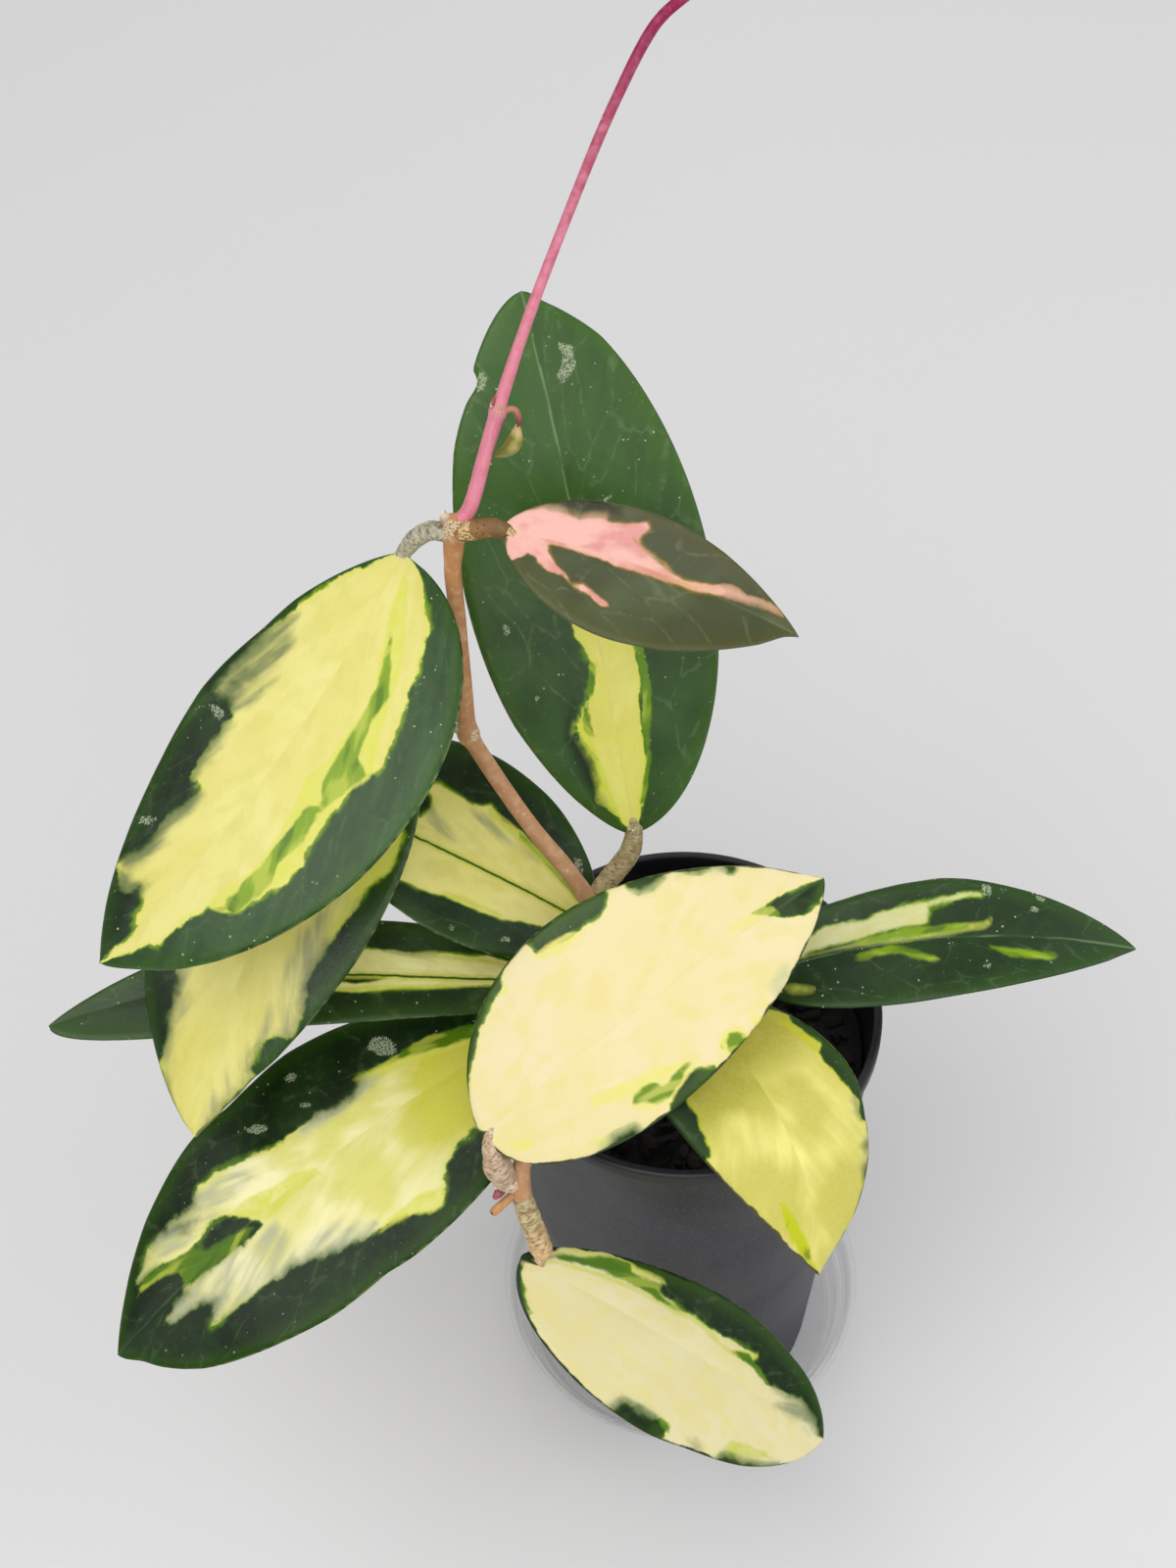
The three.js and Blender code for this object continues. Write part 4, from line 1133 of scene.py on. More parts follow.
@dataclass(frozen=True)
class Blade:
    """A thick waxy blade about its midrib.

    base and tip are its ends, and normal points away from its upper face. arch lifts the midrib, sweep bends
    it sideways, cup raises the margins and lobe draws the base back round the petiole. left and right give
    a half-width and how full it is towards the base and the tip, and the trims correct it along the leaf.
    groove and keel are how deep the midrib lies above, how far it stands out below, and how wide each is.
    """

    base: Point
    tip: Point
    normal: Point
    arch: float
    sweep: float
    cup: float
    lobe: float
    left: HalfShape
    right: HalfShape
    left_trim: Outline = ()
    right_trim: Outline = ()
    ripple: float = 0.35
    thickness: float = 1.2
    rows: int = 110
    top_columns: int = 64
    under_columns: int = 30
    edge_round: float = 1.8
    groove: ClassVar[tuple[float, float]] = (0.2, 1.4)
    keel: ClassVar[tuple[float, float]] = (0.9, 1.6)

    def axes(self) -> tuple[np.ndarray, np.ndarray, np.ndarray, float]:
        """Gives the blade's directions along, to its left and up, and its length."""
        along = np.array(self.tip) - np.array(self.base)
        length = float(np.linalg.norm(along))
        along /= length
        up = np.array(self.normal)
        up = up - along * float(np.dot(up, along))
        up /= np.linalg.norm(up)
        return along, np.cross(up, along), up, length

    @staticmethod
    def fullness(t: np.ndarray, towards_base: float, towards_tip: float) -> np.ndarray:
        """How full a half-blade is: 0 at both ends and 1 at its widest place."""
        widest = towards_base / (towards_base + towards_tip)
        return (t / widest) ** towards_base * ((1 - t) / (1 - widest)) ** towards_tip

    @staticmethod
    def trim(t: np.ndarray, corrections: Outline) -> np.ndarray:
        """Gives the smooth correction of a half-width along the leaf."""
        if not corrections:
            return np.ones_like(t)
        fine = np.linspace(-0.05, 1.05, 221)
        raw = np.interp(fine, [c[0] for c in corrections], [c[1] for c in corrections])
        window = np.hanning(7)
        smooth = np.convolve(np.pad(raw, 3, mode="edge"), window / window.sum(), mode="valid")
        return np.interp(t, fine, smooth)

    def half_width(self, t: np.ndarray, s: np.ndarray) -> np.ndarray:
        """Gives the width from midrib to margin, in millimetres, on the side that s lies on."""
        left = self.left[0] * self.fullness(t, *self.left[1:]) * self.trim(t, self.left_trim)
        right = self.right[0] * self.fullness(t, *self.right[1:]) * self.trim(t, self.right_trim)
        return np.where(s > 0, left, right)

    def surface(self, t: np.ndarray, s: np.ndarray, face: np.ndarray) -> np.ndarray:
        """Gives points on the blade's skin.

        Args:
            t: how far along the midrib, 0 to 1.
            s: how far across, -1 to 1.
            face: 1 on the upper face and -1 on the underside.

        Returns:
            The points, in millimetres.
        """
        along, left, up, length = self.axes()
        bow = 4 * t * (1 - t)
        width = self.half_width(t, s)
        inset = np.clip((1 - np.abs(s)) * np.maximum(width, 2.5) / self.edge_round, 0, 1)
        half = 0.5 * self.thickness * np.sqrt(1 - (1 - inset) ** 2)
        lift = self.arch * bow + self.cup * s * s * np.sqrt(bow)
        waves = np.sin(t * 17 + self.base[0]) * 0.6 + np.sin(t * 31 + self.base[1] + 2 * s) * 0.4
        lift = lift + self.ripple * waves * s * s * np.sqrt(bow)
        mid = np.abs(s) * width
        (groove, groove_reach), (keel, keel_reach) = self.groove, self.keel
        lift = lift - groove * np.exp(-((mid / groove_reach) ** 2)) * bow ** 0.3 * (face > 0)
        lift = lift - keel * np.exp(-((mid / keel_reach) ** 2)) * (1 - t) ** 1.5 * bow ** 0.3 * (face < 0)
        return (np.array(self.base)
                + along * (length * t - self.lobe * s * s * (1 - t) ** 4)[:, None]
                + left * (s * width + self.sweep * bow)[:, None]
                + up * (lift + face * half)[:, None])

    def flatten(self, t: np.ndarray, s: np.ndarray) -> np.ndarray:
        """Lays leaf coordinates out flat, in millimetres, for distances between markings."""
        length = self.axes()[3]
        steady = np.clip(t, 0.05, 0.95)
        return np.stack([length * t, s * self.half_width(steady, s)], axis=1)

    def depth(self, spots: np.ndarray, outlines: Sequence[Outline]) -> np.ndarray:
        """Gives how far inside any of several outlines each flat spot lies, less than 0 outside them all."""
        best = np.full(len(spots), FAR_OUTSIDE)
        for outline in outlines:
            corners = np.array(outline, dtype=float)
            ring = np.vstack([corners, corners[:1]])
            fine = np.concatenate([
                np.linspace(a, b, max(2, int(np.abs(b - a).max() / OUTLINE_STEP) + 1), endpoint=False)
                for a, b in zip(ring, ring[1:])
            ])
            flat = self.flatten(fine[:, 0], fine[:, 1])
            nearest = np.full(len(spots), np.inf)
            inside = np.zeros(len(spots), dtype=bool)
            for a, b in zip(flat, np.roll(flat, -1, axis=0)):
                run = b - a
                if not run.any():
                    continue
                share = np.clip(((spots - a) @ run) / (run @ run), 0, 1)
                nearest = np.minimum(nearest, np.linalg.norm(spots - a - share[:, None] * run, axis=1))
                if a[1] != b[1]:
                    crosses = (a[1] > spots[:, 1]) != (b[1] > spots[:, 1])
                    at = a[0] + (spots[:, 1] - a[1]) * run[0] / run[1]
                    inside ^= crosses & (spots[:, 0] < at)
            best = np.maximum(best, np.where(inside, nearest, -nearest))
        return best

    def off_line(self, t: np.ndarray, s: np.ndarray, line: Outline) -> np.ndarray:
        """Gives how far to the left of a line each leaf spot lies, in millimetres, and much more past its ends."""
        if not line:
            return np.full_like(t, -FAR_OUTSIDE)
        starts, places = [corner[0] for corner in line], [corner[1] for corner in line]
        beyond = np.maximum(starts[0] - t, 0) + np.maximum(t - starts[-1], 0)
        return (s - np.interp(t, starts, places)) * self.half_width(t, s) - FAR_OUTSIDE * beyond

    def add_to(self, bm: bmesh.types.BMesh, splash: Splash, material_index: int = 0) -> None:
        """Adds the blade's skin with its markings' numbers.

        Args:
            bm: the mesh to add it to, which already has the blade layers.
            splash: where its tissues lie.
            material_index: the material of its faces.
        """
        columns = self.top_columns + self.under_columns
        verts, around, along = unit_grid(bm, columns, self.rows)
        column = np.rint(around * columns)
        upper = column <= self.top_columns
        share = np.where(upper, column / self.top_columns, (columns - column) / self.under_columns)
        s = 0.6 * (1 - 2 * share) + 0.4 * np.cos(math.pi * share)
        t = (1 - np.cos(math.pi * along)) / 2
        t = np.clip(0.35 * along + 0.65 * t, 0, 1)
        face = np.where(upper, 1.0, -1.0)
        for vert, where in zip(verts, self.surface(t, s, face)):
            vert.co = where * MM
        spots = self.flatten(t, s)
        cream = self.depth(spots, splash.cream)
        if splash.dark:
            cream = np.minimum(cream, -self.depth(spots, splash.dark))
        width = self.half_width(t, s)
        carry(
            bm, verts, cream=cream, pale=self.depth(spots, splash.pale), lime=self.depth(spots, splash.lime),
            veil=self.depth(spots, splash.veil), scar=self.depth(spots, splash.scar), along=spots[:, 0],
            across=s * width, rim=(1 - np.abs(s)) * width, under=np.where(upper, 0.0, 1.0),
            line=self.off_line(t, s, splash.line),
        )
        close_skin(bm, verts, material_index)


@dataclass(frozen=True)
class Leaf:
    """A leaf: its blade, markings and petiole."""

    name: str
    slot: Slot
    blade: Blade
    splash: Splash
    petiole: Limb
    palette: dict[str, Union[float, Screen]]
    petiole_finish: Finish
    gloss: float = 0.35

    def build(self) -> bpy.types.Object:
        """Builds the leaf as one piece."""
        bm = bmesh.new()
        ready_layers(bm, BLADE_LAYERS + LIMB_LAYERS)
        self.blade.add_to(bm, self.splash, 0)
        self.petiole.add_to(bm, 1)
        skin = Finish(
            self.name + "_skin", "variegation", self.palette, bump=0.3, bump_reach=0.0005,
            shader={"Specular IOR Level": self.gloss},
        )
        return save_piece(
            self.name + "_dressed", bm, [skin.material(), self.petiole_finish.material()], self.slot, self.name,
            crease=70.0,
        )


CORKY = Finish("corky_petiole", "limb", {
    "Near": (158, 152, 130), "Far": (166, 160, 136), "Hollow Shade And Dark Bark": (102, 94, 76), "Speck": (212, 206, 184),
    "Flake": (224, 216, 198), "Wrinkles": 0.85, "Ridges": 0.1, "Specks": 0.3, "Pits": 0.3,
}, bump=0.7)
OLIVE_CORK = Finish("olive_corky_petiole", "limb", {
    "Near": (162, 140, 98), "Far": (150, 138, 94), "Hollow Shade And Dark Bark": (92, 78, 48), "Speck": (206, 192, 150),
    "Flake": (206, 196, 160), "Wrinkles": 0.7, "Ridges": 0.1, "Specks": 0.6, "Pits": 0.3,
}, bump=0.7)
BROWN = Finish("brown_petiole", "limb", {
    "Near": (150, 108, 56), "Far": (112, 82, 44), "Hollow Shade And Dark Bark": (60, 34, 20), "Speck": (188, 142, 78),
    "Flake": (216, 186, 134), "Wrinkles": 0.1, "Ridges": 0.2, "Specks": 0.2, "Pits": 0.9, "Smoothness": 0.4,
}, bump=0.4)
FAT_TAN = Finish("wrinkled_tan_petiole", "limb", {
    "Near": (180, 158, 128), "Far": (192, 164, 134), "Hollow Shade And Dark Bark": (138, 106, 82), "Speck": (232, 208, 178),
    "Flake": (232, 206, 182), "Wrinkles": 0.9, "Ridges": 0.1, "Specks": 0.4, "Pits": 0.2,
}, bump=0.8)
OLIVE_TAN = Finish("wrinkled_olive_petiole", "limb", {
    "Near": (152, 142, 98), "Far": (214, 170, 116), "Hollow Shade And Dark Bark": (124, 102, 64), "Speck": (232, 214, 168),
    "Flake": (226, 200, 166), "Wrinkles": 0.9, "Ridges": 0.1, "Specks": 0.4, "Pits": 0.2,
}, bump=0.8)
LEAFLET_STALK = Finish("leaflet_stalk", "limb", {
    "Near": (184, 128, 104), "Far": (104, 34, 40), "Hollow Shade And Dark Bark": (96, 36, 36), "Speck": (214, 160, 140),
    "Turn": 0.2, "Ridges": 0.3, "Specks": 0.3, "Smoothness": 0.6,
}, bump=0.3)
GREENISH = Finish("green_petiole", "limb", {
    "Near": (130, 108, 70), "Far": (98, 112, 52), "Hollow Shade And Dark Bark": (72, 66, 36), "Speck": (170, 162, 114),
    "Wrinkles": 0.5, "Ridges": 0.2, "Specks": 0.3,
}, bump=0.5)


def petiole(
    stations: Sequence[Station], seed: float, wrinkles: float = 0.12, gap: float = 0.85,
    flakes: Sequence[Station] = (),
) -> Limb:
    """Makes a petiole with crosswise rings."""
    return Limb(stations, sides=28, step=0.2, ridges=0.1, wrinkles=wrinkles, gap=gap, seed=seed, flakes=flakes)


LEAVES = (
    Leaf(
        "leaf_upper_left", Slot.SPLASH,
        Blade((-62.2, 42.1, 277.6), (-133.8, -26.9, 219.7), (-0.25, -0.5, 0.83), 7, 8.6, -2, 0, (32.9, 0.40, 0.62),
              (26.4, 0.83, 0.90), left_trim=((0.86, 1), (0.93, 0.96), (0.96, 0.84), (1, 0.7)),
              right_trim=((0.2, 1), (0.28, 0.97), (0.45, 1), (0.6, 0.96), (0.78, 0.95), (0.84, 0.97), (0.9, 1))),
        Splash(
            cream=[((-.1, .45), (.04, .5), (.09, .6), (.21, .57), (.30, .61), (.37, .63), (.39, .56), (.50, .55),
                    (.57, .57), (.60, .64), (.64, .65), (.70, .60), (.75, .60), (.745, .46), (.81, .37), (.86, .41),
                    (.895, .46), (.91, .33), (.96, .33), (1.02, .28), (1.02, .05), (.955, .01), (.92, .05),
                    (.89, .02), (.89, -.09), (.85, -.17), (.84, -.30), (.82, -.43), (.845, -.60), (.835, -.86),
                    (.82, -1.0), (.81, -.83), (.765, -.60), (.735, -.56), (.69, -.56), (.63, -.42), (.605, -.44),
                    (.59, -.60), (.46, -.58), (.42, -.66), (.43, -.86), (.31, -.87), (.27, -.92), (.24, -.87),
                    (.20, -.91), (.12, -.88), (.05, -.80), (-.02, -.72), (-.1, -.75))],
            dark=[((.365, -.68), (.375, -.68), (.38, -.78), (.37, -.82), (.365, -.76)),
                  ((.385, -.73), (.40, -.70), (.413, -.74), (.41, -.83), (.39, -.84))],
            pale=[((.03, .12), (.10, .16), (.20, .24), (.25, .33), (.32, .31), (.40, .30), (.46, .24), (.52, .30),
                   (.58, .35), (.62, .36), (.66, .40), (.75, .36), (.78, .36), (.76, .60), (.72, .60), (.67, .62),
                   (.64, .65), (.60, .64), (.58, .57), (.52, .55), (.44, .54), (.385, .62), (.37, .60), (.30, .50),
                   (.20, .46), (.10, .34), (.04, .24))],
            lime=[((.14, .24), (.20, .37), (.24, .45), (.30, .41), (.37, .46), (.39, .58), (.45, .52), (.49, .47),
                   (.45, .36), (.36, .33), (.30, .33), (.24, .33), (.18, .26)),
                  ((.50, .36), (.485, .46), (.53, .49), (.57, .53), (.62, .50), (.66, .59), (.72, .59), (.77, .61),
                   (.74, .45), (.68, .42), (.60, .40), (.55, .38))],
            veil=[((.22, -.82), (.28, -.60), (.34, -.50), (.42, -.52), (.45, -.60), (.47, -.80), (.44, -.98),
                   (.30, -.98)),
                  ((.46, -.53), (.60, -.55), (.61, -.40), (.66, -.42), (.76, -.52), (.80, -.66), (.82, -.82),
                   (.80, -.98), (.74, -.66), (.62, -.56), (.55, -.64), (.47, -.64)),
                  ((.82, -.30), (.84, -.30), (.87, -.5), (.86, -.75), (.83, -.85))],
            scar=[((.455, -.66), (.475, -.66), (.47, -.80), (.485, -.92), (.475, -.90), (.46, -.80)),
                  ((.70, -.66), (.715, -.72), (.73, -.88), (.72, -.88), (.705, -.76)),
                  ((.605, .82), (.62, .84), (.61, .78)), ((.18, .66), (.19, .64), (.185, .60))],
        ),
        petiole(((-50.9, 41.2, 283.2, 2.0), (-55.1, 42.0, 284.3, 2.2), (-58.8, 42.4, 282.0, 2.15),
                 (-62.2, 42.1, 277.6, 1.8), (-63.6, 41.1, 276.0, 1.0)), 3.0, 0.22, 0.95,
                ((-63.2, 40.4, 277.2, 1.8),)),
        # on this leaf the left wash is painted sheen: its left half is made a lighter green where the key light's
        # reflection falls
        {"Seed": 1.0, "Rim": 0.8, "Flecks": 0.8, "Rib": 0.12, "Soft": 0.3, "Lime": (126, 160, 12),
         "Cream": (229, 221, 134), "Yellow": (220, 211, 108), "Wash": (54, 86, 44), "Left Painted Sheen": 0.95,
         "Veil": (134, 142, 88), "Haze": 0.75},
        CORKY,
    ),
    Leaf(
        "leaf_upright_back", Slot.GREEN,
        Blade((-11.9, 21.1, 201.2), (-33.7, 89.7, 312.4), (0.1, -0.8, 0.6), 4, -0.9, -2, 1, (28.9, 0.66, 0.63),
              (29.9, 0.53, 0.61),
              left_trim=((0, 0.86), (.05, .9), (.1, .94), (.2, .98), (.25, 1), (.76, .98), (.80, .95), (.835, .90),
                         (.858, .80), (.872, .80), (.885, .91), (.95, .9), (1, .9)),
              right_trim=((.9, 1), (.93, .93), (.96, .80), (.98, .6))),
        Splash(
            cream=[((-.1, .40), (.03, .42), (.07, .55), (.095, .47), (.11, .37), (.16, .33), (.20, .40), (.22, .44),
                    (.24, .33), (.27, .22), (.335, .08), (.385, .17), (.45, .18), (.55, .08), (.58, -.02),
                    (.50, -.14), (.45, -.22), (.35, -.27), (.30, -.29), (.20, -.24), (.13, -.29), (.06, -.21),
                    (-.1, -.30))],
            pale=[((.03, .35), (.05, .55), (.085, .58), (.11, .44), (.15, .38), (.20, .44), (.25, .36), (.22, .28),
                   (.12, .28))],
            lime=[((.05, -.22), (.13, -.30), (.20, -.27), (.30, -.30), (.36, -.27), (.36, -.34), (.27, -.38),
                   (.15, -.34), (.06, -.28)),
                  ((.19, .27), (.22, .36), (.26, .26), (.28, .14), (.335, .06), (.34, .12), (.29, .20),
                   (.25, .24))],
            veil=[((.05, .50), (.10, .48), (.15, .38), (.22, .46), (.27, .36), (.20, .60), (.08, .66))],
            scar=[((.835, -.20), (.85, -.17), (.87, -.30), (.90, -.38), (.895, -.52), (.86, -.45), (.845, -.32)),
                  ((.61, -.26), (.625, -.27), (.625, -.35), (.61, -.34)),
                  ((.85, .92), (.857, .99), (.872, .99), (.882, .88), (.866, .86)),
                  ((.285, .69), (.30, .69), (.295, .62)), ((.42, .75), (.44, .74), (.43, .68))],
        ),
        petiole(((-22.4, 8.6, 187.9, 1.9), (-20.5, 11.1, 190.3, 2.5), (-16.3, 14.9, 193.4, 2.7),
                 (-12.7, 18.2, 196.9, 2.6), (-11.6, 21.3, 201.4, 2.1), (-11.9, 22.3, 203.6, 1.1)), 5.0, 0.16, 0.9,
                ((-11.8, 20.6, 202.6, 2.0),)),
        {"Seed": 2.0, "Dark": (54, 86, 38), "Deep": (42, 70, 28), "Mid": (66, 106, 18), "Lime": (96, 136, 8),
         "Cream": (226, 222, 116), "Yellow": (216, 212, 84), "Pale Lime": (206, 214, 70), "Veil": (120, 130, 70),
         "Rim": 0.3, "Flecks": 0.8, "Rib": 0.7, "Veins": 0.2, "Wash": (62, 108, 24), "Tip Wash": 0.5},
        OLIVE_CORK,
    ),
    Leaf(
        "leaf_young_pink", Slot.PINK,
        Blade((-38.7, 37.2, 287.9), (24.1, 10.0, 279.4), (0.15, -0.6, 0.8), 2, 2.5, 2, 1, (11.6, 0.57, 0.83),
              (18.0, 0.79, 1.00), left_trim=((.7, 1), (.8, .95), (.88, .90), (.95, .86), (1, .8)),
              right_trim=((.9, 1), (.93, .9), (.96, .7), (1, .6))),
        Splash(
            cream=[((-.1, 1.1), (.05, .97), (.10, .90), (.12, .80), (.15, .73), (.19, .64), (.22, .55), (.25, .64),
                    (.29, .70), (.31, .60), (.36, .62), (.39, .70), (.43, .79), (.44, .70), (.42, .54), (.42, .42),
                    (.45, .30), (.50, .22), (.53, .20), (.55, .08), (.60, .02), (.65, .08), (.69, .20), (.73, .32),
                    (.75, .40), (.80, .41), (.83, .55), (.87, .68), (.88, .80), (.93, .80), (.90, .58), (.85, .45),
                    (.80, .20), (.72, .02), (.65, -.08), (.50, -.08), (.38, -.09), (.28, -.07), (.16, -.05),
                    (.15, -.12), (.17, -.27), (.20, -.40), (.24, -.45), (.27, -.53), (.31, -.47), (.35, -.52),
                    (.40, -.58), (.41, -.61), (.385, -.65), (.34, -.57), (.28, -.56), (.24, -.48), (.19, -.53),
                    (.15, -.50), (.13, -.43), (.10, -.45), (.09, -.60), (.08, -.75), (.07, -.95), (.04, -.95),
                    (.02, -.60), (-.1, -.60))],
            lime=[((.40, .45), (.45, .32), (.53, .20), (.56, .08), (.53, .12), (.48, .2), (.42, .36))],
            veil=[((.08, .95), (.12, .80), (.16, .72), (.22, .64), (.30, .72), (.34, .80), (.33, .94), (.24, 1.1),
                   (.10, 1.1)),
                  ((.72, .34), (.80, .40), (.87, .66), (.92, .80), (.88, .55), (.80, .15), (.74, .10))],
        ),
        petiole(((-50.2, 41.0, 284.6, 2.3), (-47.6, 40.2, 285.8, 2.5), (-45.4, 39.5, 286.6, 2.3),
                 (-41.6, 38.6, 287.8, 2.2), (-38.7, 37.2, 288.0, 1.8), (-37.0, 36.3, 287.8, 0.9)), 8.0, 0.0, 0.85,
                ((-47.2, 39.0, 286.6, 3.4), (-37.6, 36.2, 288.6, 1.6))),
        {"Seed": 3.0, "Dark": (82, 92, 60), "Deep": (70, 76, 48), "Mid": (88, 82, 28), "Lime": (150, 124, 60),
         "Pale Lime": (206, 158, 96), "Cream": (214, 164, 122), "Yellow": (240, 182, 172), "Veil": (180, 150, 100),
         "Underside": (140, 100, 84), "Fringe": 0.35, "Ragged": 0.4, "Soft": 0.3, "Rim": 0.6, "Flecks": 0.1,
         "Rib": 0.2, "Veins": 0.22, "Base Yellow And Shadow Reach": 44.0, "Shade": (26, 26, 6), "Haze": 0.2,
         "Blush": (208, 112, 116), "Blushes": 0.55},
        BROWN, 0.25,
    ),
    Leaf(
        "leaf_left_behind", Slot.SPLASH,
        Blade((-67.0, 37.1, 234.3), (-118.7, -41.5, 168.3), (-0.25, -0.5, 0.85), 5, -5.6, -2, 0, (26.1, 0.73, 1.06),
              (31.7, 0.59, 0.70), left_trim=((.78, 1), (.81, .98), (.84, .93), (.88, .96), (.92, .92), (.96, .97))),
        Splash(
            cream=[((-.1, .40), (.12, .55), (.25, .88), (.33, .88), (.37, .76), (.47, .71), (.56, .65), (.61, .69),
                    (.67, .86), (.71, .95), (.73, .80), (.76, .63), (.79, .68), (.82, .80), (.83, 1.05), (.88, .90),
                    (1.03, .90), (1.03, -.80), (.95, -.90), (.90, -.95), (.88, -.78), (.84, -.66), (.76, -.57),
                    (.72, -.52), (.69, -.62), (.60, -.60), (.45, -.55), (.30, -.62), (.15, -.55), (-.1, -.40))],
            pale=[((.25, .90), (.33, .90), (.38, .75), (.50, .71), (.50, .62), (.36, .66), (.28, .76))],
            veil=[((.40, .74), (.50, .70), (.60, .74), (.66, .60), (.64, .42), (.52, .40), (.42, .55)),
                  ((.55, .64), (.60, .74), (.66, .88), (.72, .95), (.73, .70), (.76, .62), (.66, .50)),
                  ((.76, .62), (.80, .68), (.83, 1.0), (.88, .88), (1.0, .90), (.92, .30), (.84, .40)),
                  ((.55, -.50), (.62, -.42), (.70, -.48), (.78, -.44), (.88, -.66), (.96, -.95), (.86, -.80),
                   (.78, -.68), (.70, -.62), (.60, -.66))],
        ),
        petiole(((-50.6, 30.5, 228.8, 2.0), (-55.7, 33.1, 232.2, 1.9), (-61.4, 36.5, 235.0, 1.8),
                 (-67.0, 37.1, 234.3, 1.5), (-68.7, 35.9, 233.1, 0.9)), 12.0),
        {"Seed": 4.0, "Cream": (226, 218, 126), "Yellow": (214, 206, 100), "Veil": (150, 152, 112), "Rim": 0.6,
         "Flecks": 0.4, "Rib": 0.08, "Soft": 0.5},
        CORKY,
    ),
    Leaf(
        "leaf_behind_stem", Slot.SPLASH,
        Blade((-21.3, 7.5, 179.4), (-93.9, 35.0, 210.3), (0.1, -0.3, 0.95), 3, -2.2, 2, 0, (23.7, 0.57, 0.73),
              (24.3, 0.67, 0.67)),
        Splash(
            cream=[((-.1, .30), (.10, .40), (.17, .46), (.22, .49), (.27, .55), (.35, .57), (.45, .59), (.50, .65),
                    (.58, .70), (.70, .66), (.80, .45), (.84, .20), (.76, .05), (.68, -.10), (.62, -.05),
                    (.60, -.20), (.615, -.33), (.66, -.42), (.62, -.48), (.55, -.45), (.50, -.42), (.47, -.47),
                    (.45, -.52), (.40, -.43), (.33, -.46), (.30, -.40), (.25, -.38), (.17, -.33), (.10, -.25),
                    (-.1, -.15))],
            line=((.08, .075), (.30, .118), (.45, .138), (.62, .165)),
            pale=[((.26, .50), (.30, .55), (.40, .58), (.45, .60), (.47, .55), (.40, .50), (.30, .49)),
                  ((.08, -.22), (.20, -.27), (.33, -.34), (.44, -.40), (.46, -.50), (.33, -.46), (.20, -.38),
                   (.08, -.30))],
            lime=[((.10, -.26), (.20, -.31), (.33, -.39), (.34, -.45), (.20, -.36), (.10, -.30))],
            veil=[((.25, -.30), (.35, -.36), (.45, -.40), (.50, -.36), (.48, -.28), (.35, -.26)),
                  ((.50, .0), (.60, -.05), (.60, -.25), (.55, -.16))],
            scar=[((.23, .79), (.245, .80), (.25, .76), (.235, .755)),
                  ((.39, .885), (.40, .885), (.40, .86), (.39, .86)),
                  ((.185, .54), (.195, .54), (.195, .51), (.185, .51)),
                  ((.12, -.68), (.145, -.66), (.155, -.74), (.14, -.80), (.12, -.78))],
        ),
        petiole(((-10.8, 4.0, 168.7, 2.0), (-14.1, 6.6, 172.1, 2.0), (-17.7, 7.0, 176.3, 1.9),
                 (-21.3, 7.6, 179.4, 1.5), (-23.1, 8.3, 180.4, 0.9)), 15.0),
        # the cream is made brighter than the leaf's own to make up for the shade of the leaves above it: painted light
        {"Seed": 5.0, "Cream": (245, 237, 144), "Yellow": (236, 228, 124), "Rim": 0.5, "Flecks": 0.15, "Rib": 0.0,
         "Ragged": 0.4, "Fringe": 0.5, "Soft": 0.35},
        GREENISH,
    ),
    Leaf(
        "leaf_far_left", Slot.GREEN,
        Blade((-28.1, -3.8, 168.6), (-155.6, -13.5, 176.1), (-0.1, -0.32, 0.94), 5, -8.3, 1, 0, (14.1, 0.63, 0.57),
              (12.5, 0.54, 0.81)),
        Splash(
            cream=[((-.1, .10), (.10, .15), (.16, .25), (.25, .36), (.36, .39), (.40, .43), (.45, .40), (.50, .32),
                    (.58, .20), (.68, .05), (.60, -.08), (.50, -.25), (.43, -.38), (.38, -.40), (.33, -.35),
                    (.30, -.32), (.26, -.40), (.19, -.43), (.16, -.54), (.10, -.50), (-.1, -.30))],
            dark=[((.35, .18), (.38, .26), (.42, .28), (.46, .20), (.44, .13), (.38, .13))],
            line=((.05, -.01), (.16, .045), (.20, .118), (.30, .143), (.44, .11)),
            pale=[((.08, .20), (.18, .30), (.25, .38), (.36, .41), (.42, .44), (.50, .34), (.44, .34), (.34, .33),
                   (.22, .28)), ((.08, -.40), (.17, -.46), (.26, -.36), (.30, -.28), (.24, -.28), (.14, -.34))],
            veil=[((.26, -.22), (.33, -.25), (.36, -.36), (.30, -.34), (.26, -.40))],
        ),
        petiole(((-10.6, 3.7, 168.2, 2.0), (-15.3, 2.7, 167.5, 2.0), (-22.3, -1.9, 167.6, 1.8),
                 (-28.2, -3.8, 168.6, 1.4), (-30.1, -3.9, 169.0, 0.8)), 18.0),
        # the cream is made brighter than the leaf's own to make up for the shade of the leaves above it: painted light
        {"Seed": 6.0, "Dark": (44, 68, 30), "Deep": (28, 50, 18), "Cream": (253, 247, 172),
         "Yellow": (246, 240, 152), "Rim": 0.5, "Flecks": 0.8, "Rib": 0.1, "Ragged": 0.4, "Fringe": 0.5,
         "Soft": 0.35},
        GREENISH,
    ),
    Leaf(
        "leaf_lower_left", Slot.SPLASH,
        Blade((-35.3, -11.1, 167.0), (-142.3, -73.4, 120.7), (-0.2, -0.4, 0.9), 7, -4.4, -2, 0, (32.3, 0.61, 0.65),
              (29.4, 0.73, 0.76),
              left_trim=((.35, 1), (.45, .98), (.50, .955), (.55, .975), (.62, 1), (.88, 1), (.92, .95), (.95, .86),
                         (.97, .66), (1, .6)),
              right_trim=((.42, 1), (.50, .965), (.57, .95), (.64, .99), (.82, 1), (.90, .95), (.96, .88), (1, .8)),
              ripple=0.7),
        Splash(
